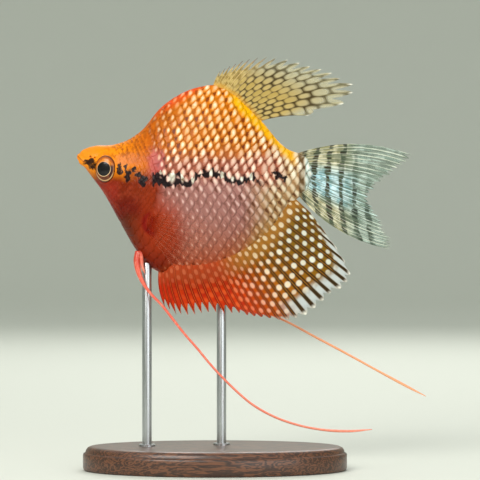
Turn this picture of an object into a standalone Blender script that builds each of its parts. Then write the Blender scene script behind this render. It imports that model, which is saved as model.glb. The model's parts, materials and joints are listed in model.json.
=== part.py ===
# A short-bodied pearl gourami at life size, held up by an oval display stand.
# Blender 4.5. The fish swims towards -X, its left flank faces -Y and Z is up. The floor is at Z = 0,
# and the origin is the centre of the stand's underside. Sizes are in millimetres: MM turns them into metres.

import math

import bmesh
import bpy
import numpy as np
from mathutils import Matrix, Vector

MM = 0.001
GAP = 0.3  # clearance between neighbouring pieces
ROOT_GAP = 1.25  # a fin's root stands off the back or belly by this many gaps, as its rays have a thickness

# The body, read from its side view: (station along X, height or half width).
BACK = [(-34.4, 78.5), (-33.3, 80.1), (-30.0, 81.1), (-25.0, 81.6), (-21.3, 83.0), (-18.3, 85.2),
        (-14.1, 90.3), (-9.0, 94.0), (-2.5, 96.2), (1.0, 96.3), (4.6, 94.4), (11.2, 88.0), (18.2, 80.4),
        (21.0, 79.4), (25.0, 79.7)]
BELLY = [(-34.4, 78.1), (-32.4, 75.4), (-28.0, 69.2), (-24.1, 62.2), (-19.8, 54.8), (-15.5, 50.2),
         (-9.0, 48.8), (-2.5, 48.8), (4.0, 50.6), (10.5, 55.0), (15.2, 60.2), (19.0, 66.0), (21.5, 68.3),
         (25.0, 68.8)]
HALF_WIDTH = [(-34.4, 0.4), (-33.4, 1.6), (-31.5, 2.7), (-28.0, 4.0), (-24.0, 5.2), (-19.0, 6.7),
              (-13.0, 7.7), (-6.0, 8.2), (1.0, 7.8), (7.0, 6.5), (12.0, 4.8), (17.0, 2.9), (21.0, 1.9),
              (25.0, 1.3)]
WIDEST_AT = [(-34.4, 78.3), (-30.0, 76.4), (-26.0, 74.6), (-20.0, 71.0), (-12.0, 67.6), (-4.0, 67.0),
             (4.0, 69.2), (12.0, 72.0), (18.0, 73.6), (25.0, 74.2)]
ROUND_ABOVE = [(-34.4, 2.0), (-24.0, 1.9), (-15.0, 1.55), (25.0, 1.4)]  # 2 is an ellipse, less is a keel
ROUND_BELOW = [(-34.4, 2.0), (-24.0, 1.5), (-10.0, 1.65), (8.0, 1.45), (25.0, 1.4)]
RINGS = 44
SEGMENTS = 36
RING_CROWDING = 1.6  # rings stand closer together towards the snout
BLOCK_HALF = 14.0  # half length of the blocks that part the body

# Where the body is parted: the gill opening, seen from the side from nape to throat, and the tail's joint.
GILL_OPENING = [(-19.6, 90.0), (-18.4, 84.6), (-16.3, 80.0), (-15.0, 76.2), (-14.2, 72.4), (-14.2, 68.6),
                (-15.4, 65.4), (-17.2, 63.6), (-19.6, 62.6), (-24.6, 61.9), (-30.0, 61.4)]
GILL_POINTS = 26
TAIL_JOINT = 16.8
TAIL_END = 21.4
GILL_COVER = (-16.6, 69.6, 7.8, 9.0, 0.85)  # centre X and Z, radii X and Z, how far it stands out
CHEEK = (-22.6, 70.6, 4.6, 6.0, 0.35)
KEEL_FADE = 2.0  # the swellings of the cheek die out this close to the middle plane

EYE = (-27.3, 75.1)  # centre X and Z
EYE_RADIUS = 2.55
EYE_DEPTH = 1.5
EYE_SUNK = 0.8
ORBIT_RADIUS = 3.3  # the low rounded rise of skin round the eye
ORBIT_DEPTH = 1.4
NOSTRILS = [(-31.0, 78.3, 0.26), (-29.9, 78.0, 0.22)]
LIP_UPPER = [(-32.3, 1.75, 76.7), (-33.3, 1.45, 77.9), (-34.0, 0.8, 78.6), (-34.3, 0.0, 78.85)]
LIP_LOWER = [(-32.3, 1.7, 76.4), (-33.05, 1.4, 77.2), (-33.75, 0.75, 77.75), (-34.05, 0.0, 77.95)]
LIP_RADIUS = 0.44
LIP_THIN = 0.4  # radius at the corner of the mouth, as a share of the middle's

# Unpaired fins: (share from first to last ray, place of the root, tip X, tip Z).
DORSAL = [(0.0, -0.6, 1.4, 99.9), (0.15, 1.2, 4.9, 101.5), (0.3, 3.0, 9.6, 103.0), (0.45, 4.9, 15.8, 103.2),
          (0.6, 6.8, 23.6, 101.2), (0.75, 8.7, 30.6, 98.7), (0.88, 10.2, 34.9, 94.7), (0.95, 11.0, 31.4, 91.2),
          (1.0, 11.6, 23.0, 88.5)]
ANAL = [(0.0, -15.2, -12.3, 40.3), (0.09, -12.0, -8.6, 38.5), (0.2, -7.5, -3.2, 39.0), (0.36, 0.0, 5.8, 38.9),
        (0.5, 5.0, 13.5, 37.7), (0.62, 9.5, 21.2, 37.9), (0.74, 13.2, 28.8, 43.3), (0.87, 17.2, 33.9, 49.8),
        (0.92, 18.6, 31.0, 54.7), (0.965, 19.6, 27.9, 59.1), (1.0, 20.3, 24.2, 64.0)]
CAUDAL = [(0.0, 79.3, 49.2, 78.7), (0.1, 78.3, 47.6, 76.6), (0.25, 76.7, 43.4, 73.6),
          (0.4, 75.1, 39.8, 70.3), (0.5, 74.0, 38.5, 67.6), (0.6, 72.9, 40.2, 64.6), (0.75, 71.2, 42.6, 60.3),
          (0.9, 69.6, 44.3, 56.8), (1.0, 68.5, 43.9, 55.2)]
DORSAL_RAYS, DORSAL_STATIONS = 15, 8
ANAL_RAYS, ANAL_STATIONS = 34, 7
CAUDAL_RAYS, CAUDAL_STATIONS = 17, 9
DORSAL_NOTCH = (0.24, 0.56, 0.32, 0.12)  # spiny until, soft from, depth between spines, depth between soft rays
ANAL_NOTCH = (0.2, 0.48, 0.27, 0.09)
CAUDAL_NOTCH = (0.0, 1.0, 0.07, 0.07)
DORSAL_BEND, ANAL_BEND, CAUDAL_BEND = 0.05, -0.1, 0.09
DORSAL_WAVE = (0.7, 4.5, 0.6)  # how far the free edge waves aside, and the wave's pace and start
ANAL_WAVE = (0.55, 9.0, 2.2)
CAUDAL_WAVE = (1.3, 2.2, -0.4)
MEMBRANE = 0.52  # thickness between the rays
RAY_RIDGE = 0.92  # thickness across a ray
TIP_FROM = 0.88  # a ray is full thickness as far as this share of its length
TIP_THIN = 0.55

PECTORAL_ROOT = [(-15.7, 63.7), (-16.2, 59.4)]  # upper and lower end of the root, X and Z
PECTORAL_TIPS = [(0.0, 12.9, 0.8), (0.3, 16.2, -1.6), (0.55, 15.6, -5.0), (0.8, 11.9, -7.8), (1.0, 7.4, -9.0)]
PECTORAL_SPREAD = math.radians(21)
PECTORAL_CUP = 0.9
PECTORAL_RAYS, PECTORAL_STATIONS = 10, 7
PECTORAL_RIDGE = 0.8
PECTORAL_NOTCH = (0.0, 1.0, 0.06, 0.06)
PECTORAL_LOBE = (1.3, 2.6, 0.85)  # half sizes of the fleshy root
LOBE_BACK = 0.6

# The feelers are pelvic fins drawn out to a thread. Each route starts at the belly's keel.
FEELER_LEFT = [(-19.1, -1.2, 54.6), (-19.5, -1.6, 52.4), (-19.1, -2.0, 49.9), (-18.1, -2.4, 47.3),
               (-16.1, -2.8, 44.3), (-13.1, -3.2, 41.2), (-10.5, -3.5, 37.9), (-7.4, -3.8, 34.0),
               (-4.3, -4.1, 30.5), (-1.5, -4.4, 27.1), (3.0, -4.8, 22.3), (5.4, -5.0, 20.0),
               (9.4, -5.4, 16.7), (14.6, -5.7, 13.8), (20.6, -5.9, 11.7), (27.0, -6.0, 10.5),
               (33.6, -5.9, 10.2), (39.0, -5.7, 10.6)]
FEELER_RIGHT = [(-18.9, 1.2, 54.4), (-17.6, 2.2, 52.5), (-14.6, 3.2, 50.4), (-8.0, 4.8, 47.2),
                (1.6, 6.6, 43.6), (10.2, 7.6, 40.2), (17.3, 8.3, 37.2), (25.9, 9.1, 32.6), (32.3, 9.6, 29.2),
                (41.2, 10.2, 24.3), (50.9, 10.8, 19.1), (53.6, 11.0, 17.7)]
FEELER_FLESHY = 0.11  # share of the feeler that is the thick fin base
FEELER_SPLIT = 0.52  # where the thread is parted into its two lengths
FEELER_RADII = [(0.0, 0.85), (0.05, 0.75), (0.12, 0.42), (0.25, 0.34), (0.8, 0.28), (1.0, 0.25)]
SHORT_RAY = [(0.5, 0.0, 0.2), (0.75, 0.3, -1.6), (1.0, 0.5, -3.6), (1.6, 0.6, -5.4)]  # from the feeler's root
SHORT_RAY_RADIUS = 0.55

STAND_LENGTH = 66.0
STAND_WIDTH = 40.0
STAND_THICK = 6.0
STAND_EDGE = 0.9
ROD_RADIUS = 1.2
ROD_SOCKET = 3.0  # depth of a rod's foot in the base
RODS = {"stand_rod_front": (-17.0, 0.0), "stand_rod_rear": (1.6, 3.4)}  # X and Y


def clear_scene():
    for old in list(bpy.data.objects):
        bpy.data.objects.remove(old, do_unlink=True)


def smooth(points):
    """A function through (place, value) pairs, with a slope at each pair taken from its neighbours."""
    places = np.array([p[0] for p in points], float)
    values = np.array([p[1] for p in points], float)
    slopes = np.gradient(values, places)

    def value(place):
        place = min(max(place, places[0]), places[-1])
        i = min(int(np.searchsorted(places, place, side="right")) - 1, len(places) - 2)
        width = places[i + 1] - places[i]
        t = (place - places[i]) / width
        return float((2 * t**3 - 3 * t**2 + 1) * values[i] + (t**3 - 2 * t**2 + t) * width * slopes[i]
                     + (3 * t**2 - 2 * t**3) * values[i + 1] + (t**3 - t**2) * width * slopes[i + 1])

    return value


back = smooth(BACK)
belly = smooth(BELLY)
half_width = smooth(HALF_WIDTH)
widest_at = smooth(WIDEST_AT)
round_above = smooth(ROUND_ABOVE)
round_below = smooth(ROUND_BELOW)


def skin(x, angle):
    """The body's surface at station x. Angle 0 is the left flank's widest line and 90 degrees is the back."""
    c, s = math.cos(angle), math.sin(angle)
    middle = widest_at(x)
    height = back(x) - middle if s > 0 else middle - belly(x)
    roundness = round_above(x) if s > 0 else round_below(x)
    return Vector((x, -half_width(x) * math.copysign(abs(c) ** (2 / roundness), c), middle + height * s))


def flank(x, z):
    """How far the flank stands from the middle plane at a place of the side view."""
    middle = widest_at(x)
    height = back(x) - middle if z > middle else middle - belly(x)
    roundness = round_above(x) if z > middle else round_below(x)
    share = min(abs(z - middle) / height, 1.0)
    return half_width(x) * (1 - share**2) ** (1 / roundness)


def flank_facing(x, z):
    """The outward direction of the left flank at a place of the side view."""
    step = 0.4
    along = Vector((2 * step, flank(x - step, z) - flank(x + step, z), 0))
    upward = Vector((0, flank(x, z - step) - flank(x, z + step), 2 * step))
    return along.cross(upward).normalized()


def swelling(x, z, shape):
    """How far a rounded swelling stands out at a place of the side view."""
    cx, cz, rx, rz, lift = shape
    inside = max(0.0, 1 - math.hypot((x - cx) / rx, (z - cz) / rz))
    return lift * (3 - 2 * inside) * inside**2


def finish(name, colour, roughness=0.35, metallic=0.0):
    material = bpy.data.materials.new(name)
    material.use_nodes = True
    shader = material.node_tree.nodes["Principled BSDF"]
    shader.inputs["Base Color"].default_value = (*colour, 1)
    shader.inputs["Roughness"].default_value = roughness
    shader.inputs["Metallic"].default_value = metallic
    material.diffuse_color = (*colour, 1)
    return material


def add(name, bm, material, collection):
    """A new object from a mesh in millimetres."""
    mesh = bpy.data.meshes.new(name)
    bm.to_mesh(mesh)
    bm.free()
    mesh.transform(Matrix.Scale(MM, 4))
    if material:
        mesh.materials.append(material)
    obj = bpy.data.objects.new(name, mesh)
    collection.objects.link(obj)
    return obj


def body_mesh(name, collection, material=None, grow=0.0, gills=False):
    """The whole body as one closed form: a sphere whose rings become the body's stations."""
    first, last = BACK[0][0], BACK[-1][0]
    bm = bmesh.new()
    bmesh.ops.create_uvsphere(bm, u_segments=SEGMENTS, v_segments=RINGS, radius=1)
    for v in bm.verts:
        share = math.acos(max(-1.0, min(1.0, v.co.z))) / math.pi
        x = first + (last - first) * share**RING_CROWDING
        if share < 1e-4 or share > 1 - 1e-4:
            v.co = Vector((x, 0, widest_at(x)))
            continue
        v.co = skin(x, math.atan2(v.co.y, v.co.x))
        if gills:
            lift = swelling(v.co.x, v.co.z, GILL_COVER) + swelling(v.co.x, v.co.z, CHEEK)
            v.co.y += math.copysign(lift, v.co.y) * min(1, abs(v.co.y) / KEEL_FADE)
    bm.normal_update()
    if grow:
        for v in bm.verts:
            v.co += v.normal * grow
    return add(name, bm, material, collection)


def offset_line(points, distance):
    """The points of an open line in the side view, moved sideways."""
    moved = []
    for i, (x, z) in enumerate(points):
        x0, z0 = points[max(i - 1, 0)]
        x1, z1 = points[min(i + 1, len(points) - 1)]
        length = math.hypot(x1 - x0, z1 - z0)
        moved.append((x + (z1 - z0) / length * distance, z - (x1 - x0) / length * distance))
    return moved


def side_block(name, outline, collection):
    """A block whose side view is a closed outline of (X, Z) points, through the whole fish."""
    bm = bmesh.new()
    face = bm.faces.new([bm.verts.new((x, -BLOCK_HALF, z)) for x, z in outline])
    swept = bmesh.ops.extrude_face_region(bm, geom=[face])
    for item in swept["geom"]:
        if isinstance(item, bmesh.types.BMVert):
            item.co.y = BLOCK_HALF
    bmesh.ops.recalc_face_normals(bm, faces=bm.faces)
    return add(name, bm, None, collection)


def combine(target, pieces, operation):
    """Joins, cuts or intersects target with a list of closed pieces in one Boolean, and removes the pieces."""
    group = bpy.data.collections.new(target.name + "_pieces")
    for piece in pieces:
        group.objects.link(piece)
    modifier = target.modifiers.new("combine", "BOOLEAN")
    modifier.operation = operation
    modifier.operand_type = "COLLECTION"
    modifier.collection = group
    apply_modifiers(target)
    for piece in pieces:
        bpy.data.objects.remove(piece, do_unlink=True)
    bpy.data.collections.remove(group)


def apply_modifiers(obj):
    graph = bpy.context.evaluated_depsgraph_get()
    mesh = bpy.data.meshes.new_from_object(obj.evaluated_get(graph))
    old = obj.data
    obj.modifiers.clear()
    obj.data = mesh
    mesh.name = obj.name
    bpy.data.meshes.remove(old)


def keep_largest(obj):
    """Keeps the largest closed surface of a mesh and drops loose scraps."""
    bm = bmesh.new()
    bm.from_mesh(obj.data)
    bmesh.ops.remove_doubles(bm, verts=bm.verts, dist=1e-6)
    left = set(bm.verts)
    groups = []
    while left:
        group, edge = set(), {left.pop()}
        while edge:
            v = edge.pop()
            group.add(v)
            near = {e.other_vert(v) for e in v.link_edges} & left
            left -= near
            edge |= near
        groups.append(group)
    groups.sort(key=len, reverse=True)
    bmesh.ops.delete(bm, geom=[v for g in groups[1:] for v in g], context="VERTS")
    bmesh.ops.triangulate(bm, faces=bm.faces)
    bm.to_mesh(obj.data)
    bm.free()


def tube(name, route, radius_at, collection, sides=8, material=None):
    """A closed tube along a list of points: a curve with a changing radius, made into a mesh."""
    curve = bpy.data.curves.new(name, "CURVE")
    curve.dimensions = "3D"
    curve.bevel_depth = MM
    curve.bevel_resolution = sides // 2 - 2
    curve.use_fill_caps = True
    line = curve.splines.new("POLY")
    line.points.add(len(route) - 1)
    for i, (point, place) in enumerate(zip(line.points, route)):
        point.co = (*(c * MM for c in place), 1)
        point.radius = radius_at(i / (len(route) - 1))
    holder = bpy.data.objects.new(name + "_line", curve)
    collection.objects.link(holder)
    graph = bpy.context.evaluated_depsgraph_get()
    mesh = bpy.data.meshes.new_from_object(holder.evaluated_get(graph))
    bm = bmesh.new()
    bm.from_mesh(mesh)
    bmesh.ops.remove_doubles(bm, verts=bm.verts, dist=1e-7)
    bmesh.ops.recalc_face_normals(bm, faces=bm.faces)
    bm.to_mesh(mesh)
    bm.free()
    bpy.data.objects.remove(holder, do_unlink=True)
    mesh.name = name
    if material:
        mesh.materials.append(material)
    obj = bpy.data.objects.new(name, mesh)
    collection.objects.link(obj)
    return obj


def along_route(points, share_from, share_to, count):
    """Evenly spaced points on the smooth curve through a route, between two shares of its length."""
    lengths = [0.0]
    for a, b in zip(points, points[1:]):
        lengths.append(lengths[-1] + (Vector(b) - Vector(a)).length)
    axes = [smooth([(s, p[axis]) for s, p in zip(lengths, points)]) for axis in range(3)]
    shares = [share_from + (share_to - share_from) * i / (count - 1) for i in range(count)]
    return [Vector([axis(share * lengths[-1]) for axis in axes]) for share in shares]


def fin(name, rays, stations, ray, notch, collection, material, ridge=RAY_RIDGE):
    """A ribbed membrane. Every second column of the sheet is a ray: it reaches further and is thicker.

    ray(share, along) gives a point for a share of the way from first ray to last and a share of its length.
    """
    columns = 2 * (rays - 1)
    bm = bmesh.new()
    bmesh.ops.create_grid(bm, x_segments=columns, y_segments=stations, size=1)
    strength = []
    for v in bm.verts:
        column = round((v.co.x + 1) / 2 * columns)
        along = (v.co.y + 1) / 2
        share = column / columns
        slim = 1 - (1 - TIP_THIN) * max(0.0, (along - TIP_FROM) / (1 - TIP_FROM))
        on_ray = column % 2 == 0
        strength.append((ridge if on_ray else MEMBRANE) * slim / ridge)
        v.co = ray(share, along if on_ray else along * (1 - notch_at(notch, share)))
    bmesh.ops.triangulate(bm, faces=bm.faces)
    obj = add(name, bm, material, collection)
    group = obj.vertex_groups.new(name="thickness")
    for index, weight in enumerate(strength):
        group.add([index], weight, "REPLACE")
    thick = obj.modifiers.new("thickness", "SOLIDIFY")
    thick.thickness = ridge * MM
    thick.offset = 0
    thick.vertex_group = "thickness"
    thick.thickness_vertex_group = 0
    thick.use_rim = True
    return obj


def notch_at(notch, share):
    """How much shorter the membrane is than its rays: deep between spines, shallow between soft rays."""
    spiny_until, soft_from, spiny, soft = notch
    fade = min(1.0, max(0.0, (share - spiny_until) / (soft_from - spiny_until)))
    return spiny + (soft - spiny) * fade


def wave_at(wave, share):
    reach, pace, start = wave
    return reach * math.sin(pace * share + start)


def bowed(root, tip, bend, along):
    """A point on a ray from root to tip, bowed in the middle plane by bend times its length."""
    chord = tip - root
    sideways = Vector((-chord.z, 0, chord.x))
    return root + chord * along + sideways * (bend * 4 * along * (1 - along))


def edge_root(profile, x, outward):
    """A point just off the back (outward 1) or belly (outward -1), square to the profile."""
    step = 0.3
    slope = (profile(x + step) - profile(x - step)) / (2 * step)
    square = Vector((-slope, 0, 1)).normalized() * outward
    return Vector((x, 0, profile(x))) + square * GAP * ROOT_GAP


def ray_lines(shape):
    """The smooth lines of roots and of tips along a fin, as functions of the share from first ray to last."""
    root = smooth([(share, place) for share, place, _, _ in shape])
    tip_x = smooth([(share, x) for share, _, x, _ in shape])
    tip_z = smooth([(share, z) for share, _, _, z in shape])
    return root, lambda share: Vector((tip_x(share), 0, tip_z(share)))


def dorsal_ray():
    root, tip = ray_lines(DORSAL)

    def ray(share, along):
        point = bowed(edge_root(back, root(share), 1), tip(share), DORSAL_BEND, along)
        point.y = wave_at(DORSAL_WAVE, share) * along**2
        return point

    return ray


def anal_ray():
    root, tip = ray_lines(ANAL)

    def ray(share, along):
        bend = ANAL_BEND * (1 - share) ** 3
        point = bowed(edge_root(belly, root(share), -1), tip(share), bend, along)
        point.y = wave_at(ANAL_WAVE, share) * along**2
        return point

    return ray


def caudal_ray():
    root, tip = ray_lines(CAUDAL)

    def ray(share, along):
        bend = CAUDAL_BEND * (1 - 2 * share)
        point = bowed(Vector((TAIL_END + GAP, 0, root(share))), tip(share), bend, along)
        point.y = wave_at(CAUDAL_WAVE, share) * along**2
        return point

    return ray


def pectoral_ray(side):
    """Rays of a pectoral fin, fanned in a plane that swings out from the flank."""
    reach = smooth([(share, x) for share, x, _ in PECTORAL_TIPS])
    drop = smooth([(share, z) for share, _, z in PECTORAL_TIPS])
    (x0, z0), (x1, z1) = PECTORAL_ROOT

    def ray(share, along):
        x, z = x0 + (x1 - x0) * share, z0 + (z1 - z0) * share
        ahead = reach(share) * along
        out = flank(x, z) + GAP + math.sin(PECTORAL_SPREAD) * ahead - PECTORAL_CUP * along * (1 - along)
        return Vector((x + math.cos(PECTORAL_SPREAD) * ahead, side * out, z + drop(share) * along))

    return ray


def ellipsoid(name, centre, radii, facing, collection, segments=20, rings=12, material=None):
    """A ball whose third radius lies along facing."""
    bm = bmesh.new()
    bmesh.ops.create_uvsphere(bm, u_segments=segments, v_segments=rings, radius=1)
    turn = facing.to_track_quat("Z", "Y").to_matrix().to_4x4()
    place = Matrix.Translation(centre) @ turn @ Matrix.Diagonal((*radii, 1))
    bmesh.ops.transform(bm, matrix=place, verts=bm.verts)
    return add(name, bm, material, collection)


def eye_place(side):
    """Centre and outward direction of an eye."""
    x, z = EYE
    facing = flank_facing(x, z)
    centre = Vector((x, -flank(x, z), z)) - facing * EYE_SUNK
    return Vector((centre.x, centre.y * -side, centre.z)), Vector((facing.x, facing.y * -side, facing.z))


def both_sides(points):
    """A route given for one side from the corner of the mouth to its middle, carried on to the other corner."""
    near = [Vector((x, -y, z)) for x, y, z in points]
    far = [Vector((x, y, z)) for x, y, z in reversed(points[:-1])]
    return near + far


def make_head(parts, cutters, material):
    head = body_mesh("head", parts, material, gills=True)
    front = offset_line(gill_line(), GAP / 2)
    region = front + [(-60.0, 61.0), (-60.0, 100.0)]
    combine(head, [side_block("head_region", region, cutters)], "INTERSECT")
    folds = []
    for side in (-1, 1):
        centre, facing = eye_place(side)
        size = (ORBIT_RADIUS, ORBIT_RADIUS, ORBIT_DEPTH)
        folds.append(ellipsoid("orbit", centre, size, facing, cutters, 26, 14))
    for label, lip in (("lip_upper", LIP_UPPER), ("lip_lower", LIP_LOWER)):
        route = along_route(both_sides(lip), 0, 1, 17)
        folds.append(tube(label, route, lip_radius, cutters))
    combine(head, folds, "UNION")
    hollows = []
    for side in (-1, 1):
        centre, facing = eye_place(side)
        room = EYE_RADIUS + GAP
        hollows.append(ellipsoid("socket", centre, (room, room, EYE_DEPTH + GAP), facing, cutters, 22, 14))
        for x, z, radius in NOSTRILS:
            mouth = Vector((x, side * flank(x, z), z))
            forward_and_up = Vector((-0.4, side, 0.3))
            hollows.append(ellipsoid("pit", mouth, (radius, radius, radius * 2), forward_and_up, cutters, 8, 6))
    combine(head, hollows, "DIFFERENCE")
    keep_largest(head)


def gill_line():
    """The gill opening as a smooth line in the side view."""
    curve = along_route([(x, 0.0, z) for x, z in GILL_OPENING], 0, 1, GILL_POINTS)
    return [(point.x, point.z) for point in curve]


def lip_radius(share):
    """A lip is fullest at the middle of the mouth and thins towards its corners."""
    return LIP_RADIUS * (LIP_THIN + (1 - LIP_THIN) * math.sin(math.pi * share))


def make_trunk(parts, cutters, material):
    trunk = body_mesh("trunk", parts, material)
    behind = offset_line(gill_line(), -GAP / 2)
    rear = TAIL_JOINT - GAP / 2
    region = behind + [(-40.0, 40.0), (rear, 40.0), (rear, 105.0), (-19.6, 105.0)]
    combine(trunk, [side_block("trunk_region", region, cutters)], "INTERSECT")
    keep_largest(trunk)


def make_tail_stalk(parts, cutters, material):
    stalk = body_mesh("tail_stalk", parts, material)
    front = TAIL_JOINT + GAP / 2
    region = [(front, 50.0), (TAIL_END, 50.0), (TAIL_END, 95.0), (front, 95.0)]
    combine(stalk, [side_block("stalk_region", region, cutters)], "INTERSECT")
    keep_largest(stalk)


def make_eyes(parts, material):
    for side, label in ((-1, "eye_left"), (1, "eye_right")):
        centre, facing = eye_place(side)
        ellipsoid(label, centre, (EYE_RADIUS, EYE_RADIUS, EYE_DEPTH), facing, parts, 20, 14, material)


def make_unpaired_fins(parts, materials):
    fin("dorsal_fin", DORSAL_RAYS, DORSAL_STATIONS, dorsal_ray(), DORSAL_NOTCH, parts, materials["dorsal_fin"])
    fin("anal_fin", ANAL_RAYS, ANAL_STATIONS, anal_ray(), ANAL_NOTCH, parts, materials["anal_fin"])
    fin("caudal_fin", CAUDAL_RAYS, CAUDAL_STATIONS, caudal_ray(), CAUDAL_NOTCH, parts, materials["caudal_fin"])


def make_pectoral_fins(parts, cutters, material):
    """Each fin is a fan on a fleshy root that is hollowed to the flank."""
    (x0, z0), (x1, z1) = PECTORAL_ROOT
    x, z = (x0 + x1) / 2, (z0 + z1) / 2
    for side, label in ((-1, "pectoral_fin_left"), (1, "pectoral_fin_right")):
        vane = fin(label, PECTORAL_RAYS, PECTORAL_STATIONS, pectoral_ray(side), PECTORAL_NOTCH, parts, material,
                   PECTORAL_RIDGE)
        apply_modifiers(vane)
        centre = Vector((x + LOBE_BACK, side * (flank(x, z) + GAP / 2), z))
        lobe = ellipsoid("lobe", centre, PECTORAL_LOBE, Vector((0, side, 0)), cutters, 14, 8)
        combine(vane, [lobe], "UNION")
        combine(vane, [body_mesh("grown", cutters, grow=GAP, gills=True)], "DIFFERENCE")
        keep_largest(vane)


def make_feelers(parts, cutters, material):
    """Each pelvic fin is a fleshy spindle with a short second ray, and a thread in two lengths."""
    radius = smooth(FEELER_RADII)
    for side, label, route in ((-1, "left", FEELER_LEFT), (1, "right", FEELER_RIGHT)):
        length = sum((Vector(b) - Vector(a)).length for a, b in zip(route, route[1:]))
        half_gap = GAP / 2 / length
        lengths = (
            (f"pelvic_fin_{label}", 0.0, FEELER_FLESHY - half_gap, 10),
            (f"pelvic_thread_{label}_upper", FEELER_FLESHY + half_gap, FEELER_SPLIT - half_gap, 17),
            (f"pelvic_thread_{label}_lower", FEELER_SPLIT + half_gap, 1.0, 15),
        )
        for name, start, end, count in lengths:
            points = along_route(route, start, end, count)
            tube(name, points, lambda s, a=start, b=end: radius(a + (b - a) * s), parts, 8, material)
        fleshy = parts.objects[f"pelvic_fin_{label}"]
        root = Vector(route[0])
        short = [root + Vector((x, side * y, z)) for x, y, z in SHORT_RAY]
        ray = tube("short_ray", short, lambda s: SHORT_RAY_RADIUS * (1 - s / 2), cutters)
        combine(fleshy, [ray], "UNION")
        combine(fleshy, [body_mesh("grown", cutters, grow=GAP)], "DIFFERENCE")
        keep_largest(fleshy)


def cylinder(name, place, low, high, radius, collection, material=None, segments=20):
    bm = bmesh.new()
    height = high - low
    bmesh.ops.create_cone(bm, cap_ends=True, segments=segments, radius1=radius, radius2=radius, depth=height)
    bmesh.ops.translate(bm, vec=(*place, low + height / 2), verts=bm.verts)
    return add(name, bm, material, collection)


def make_stand(parts, cutters, wood, steel):
    """An oval base with two upright rods, each let into a blind hole and hollowed to the belly at its top."""
    base = cylinder("stand_base", (0, 0), 0, STAND_THICK, 1, parts, wood, 48)
    oval = Matrix.Diagonal((STAND_LENGTH / 2, STAND_WIDTH / 2, 1, 1))
    base.data.transform(oval)
    edge = base.modifiers.new("worn edge", "BEVEL")
    edge.width = STAND_EDGE * MM
    edge.segments = 2
    edge.limit_method = "ANGLE"
    edge.angle_limit = math.radians(50)
    apply_modifiers(base)
    foot = STAND_THICK - ROD_SOCKET
    holes = []
    for name, place in RODS.items():
        holes.append(cylinder("hole", place, foot - GAP, STAND_THICK + 1, ROD_RADIUS + GAP / 2, cutters))
        rod = cylinder(name, place, foot, widest_at(place[0]), ROD_RADIUS, parts, steel)
        combine(rod, [body_mesh("grown", cutters, grow=GAP)], "DIFFERENCE")
        keep_largest(rod)
    combine(base, holes, "DIFFERENCE")
    keep_largest(base)


def shade(collection):
    """Round surfaces are shaded smooth, with creases where pieces were cut."""
    for obj in collection.objects:
        if obj.type == "MESH":
            obj.data.shade_smooth()
            obj.data.set_sharp_from_angle(angle=math.radians(40))


def new_collection(name):
    collection = bpy.data.collections.new(name)
    bpy.context.scene.collection.children.link(collection)
    return collection


def main():
    clear_scene()
    parts = new_collection("pearl_gourami")
    cutters = new_collection("cutters")
    materials = {
        "head": finish("orange_red_skin", (0.72, 0.16, 0.03)),
        "trunk": finish("pearled_skin", (0.72, 0.42, 0.26)),
        "dorsal_fin": finish("straw_fin", (0.62, 0.52, 0.3), 0.4),
        "anal_fin": finish("orange_fin", (0.85, 0.2, 0.02), 0.4),
        "caudal_fin": finish("barred_fin", (0.6, 0.62, 0.48), 0.4),
        "thread": finish("coral_thread", (0.86, 0.3, 0.2), 0.45),
        "eye": finish("eye_black", (0.02, 0.015, 0.01), 0.08),
        "wood": finish("dark_walnut", (0.09, 0.045, 0.02), 0.4),
        "steel": finish("brushed_steel", (0.6, 0.6, 0.6), 0.3, 1.0),
    }
    make_head(parts, cutters, materials["head"])
    make_trunk(parts, cutters, materials["trunk"])
    make_tail_stalk(parts, cutters, materials["trunk"])
    make_eyes(parts, materials["eye"])
    make_unpaired_fins(parts, materials)
    make_pectoral_fins(parts, cutters, materials["anal_fin"])
    make_feelers(parts, cutters, materials["thread"])
    make_stand(parts, cutters, materials["wood"], materials["steel"])
    shade(parts)
    bpy.data.collections.remove(cutters)
    fish = bpy.data.objects.new("fish", None)
    parts.objects.link(fish)
    for obj in parts.objects:
        if obj.type == "MESH" and not obj.name.startswith("stand_"):
            obj.parent = fish


main()
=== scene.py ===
# %% [markdown]
# # A short-bodied pearl gourami on its display stand
# A pearl gourami is a small labyrinth fish. This one is the short-bodied form: the body is nearly as
# deep as it is long. We dress a plain solid model of it with skin, scales, eyes and ribbed fins.
# The solid model, the frame, is loaded first. It says where each piece goes, and we never move it.

# %% Load the frame
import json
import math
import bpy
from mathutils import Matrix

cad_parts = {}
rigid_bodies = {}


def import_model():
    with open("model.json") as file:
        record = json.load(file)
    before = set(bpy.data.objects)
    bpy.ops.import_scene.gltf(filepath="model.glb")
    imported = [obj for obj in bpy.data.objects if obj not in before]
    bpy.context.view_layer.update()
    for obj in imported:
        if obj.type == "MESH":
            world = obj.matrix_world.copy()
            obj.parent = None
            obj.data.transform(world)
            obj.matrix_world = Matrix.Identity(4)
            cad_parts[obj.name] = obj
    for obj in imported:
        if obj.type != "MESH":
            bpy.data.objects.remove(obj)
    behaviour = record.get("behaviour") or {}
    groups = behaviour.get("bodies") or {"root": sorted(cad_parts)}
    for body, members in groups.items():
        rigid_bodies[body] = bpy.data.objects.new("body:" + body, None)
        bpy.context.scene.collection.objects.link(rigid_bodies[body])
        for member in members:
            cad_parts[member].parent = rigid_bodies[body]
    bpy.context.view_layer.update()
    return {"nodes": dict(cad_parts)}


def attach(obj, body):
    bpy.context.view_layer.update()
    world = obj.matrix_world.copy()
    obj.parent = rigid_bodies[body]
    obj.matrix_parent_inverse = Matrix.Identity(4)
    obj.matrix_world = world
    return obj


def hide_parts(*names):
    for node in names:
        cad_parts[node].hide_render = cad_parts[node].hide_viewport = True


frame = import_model()

# %% [markdown]
# ## Tools for the lesson
# numpy works out whole arrays of points at once, which keeps a fish of many thousand points quick.

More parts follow.
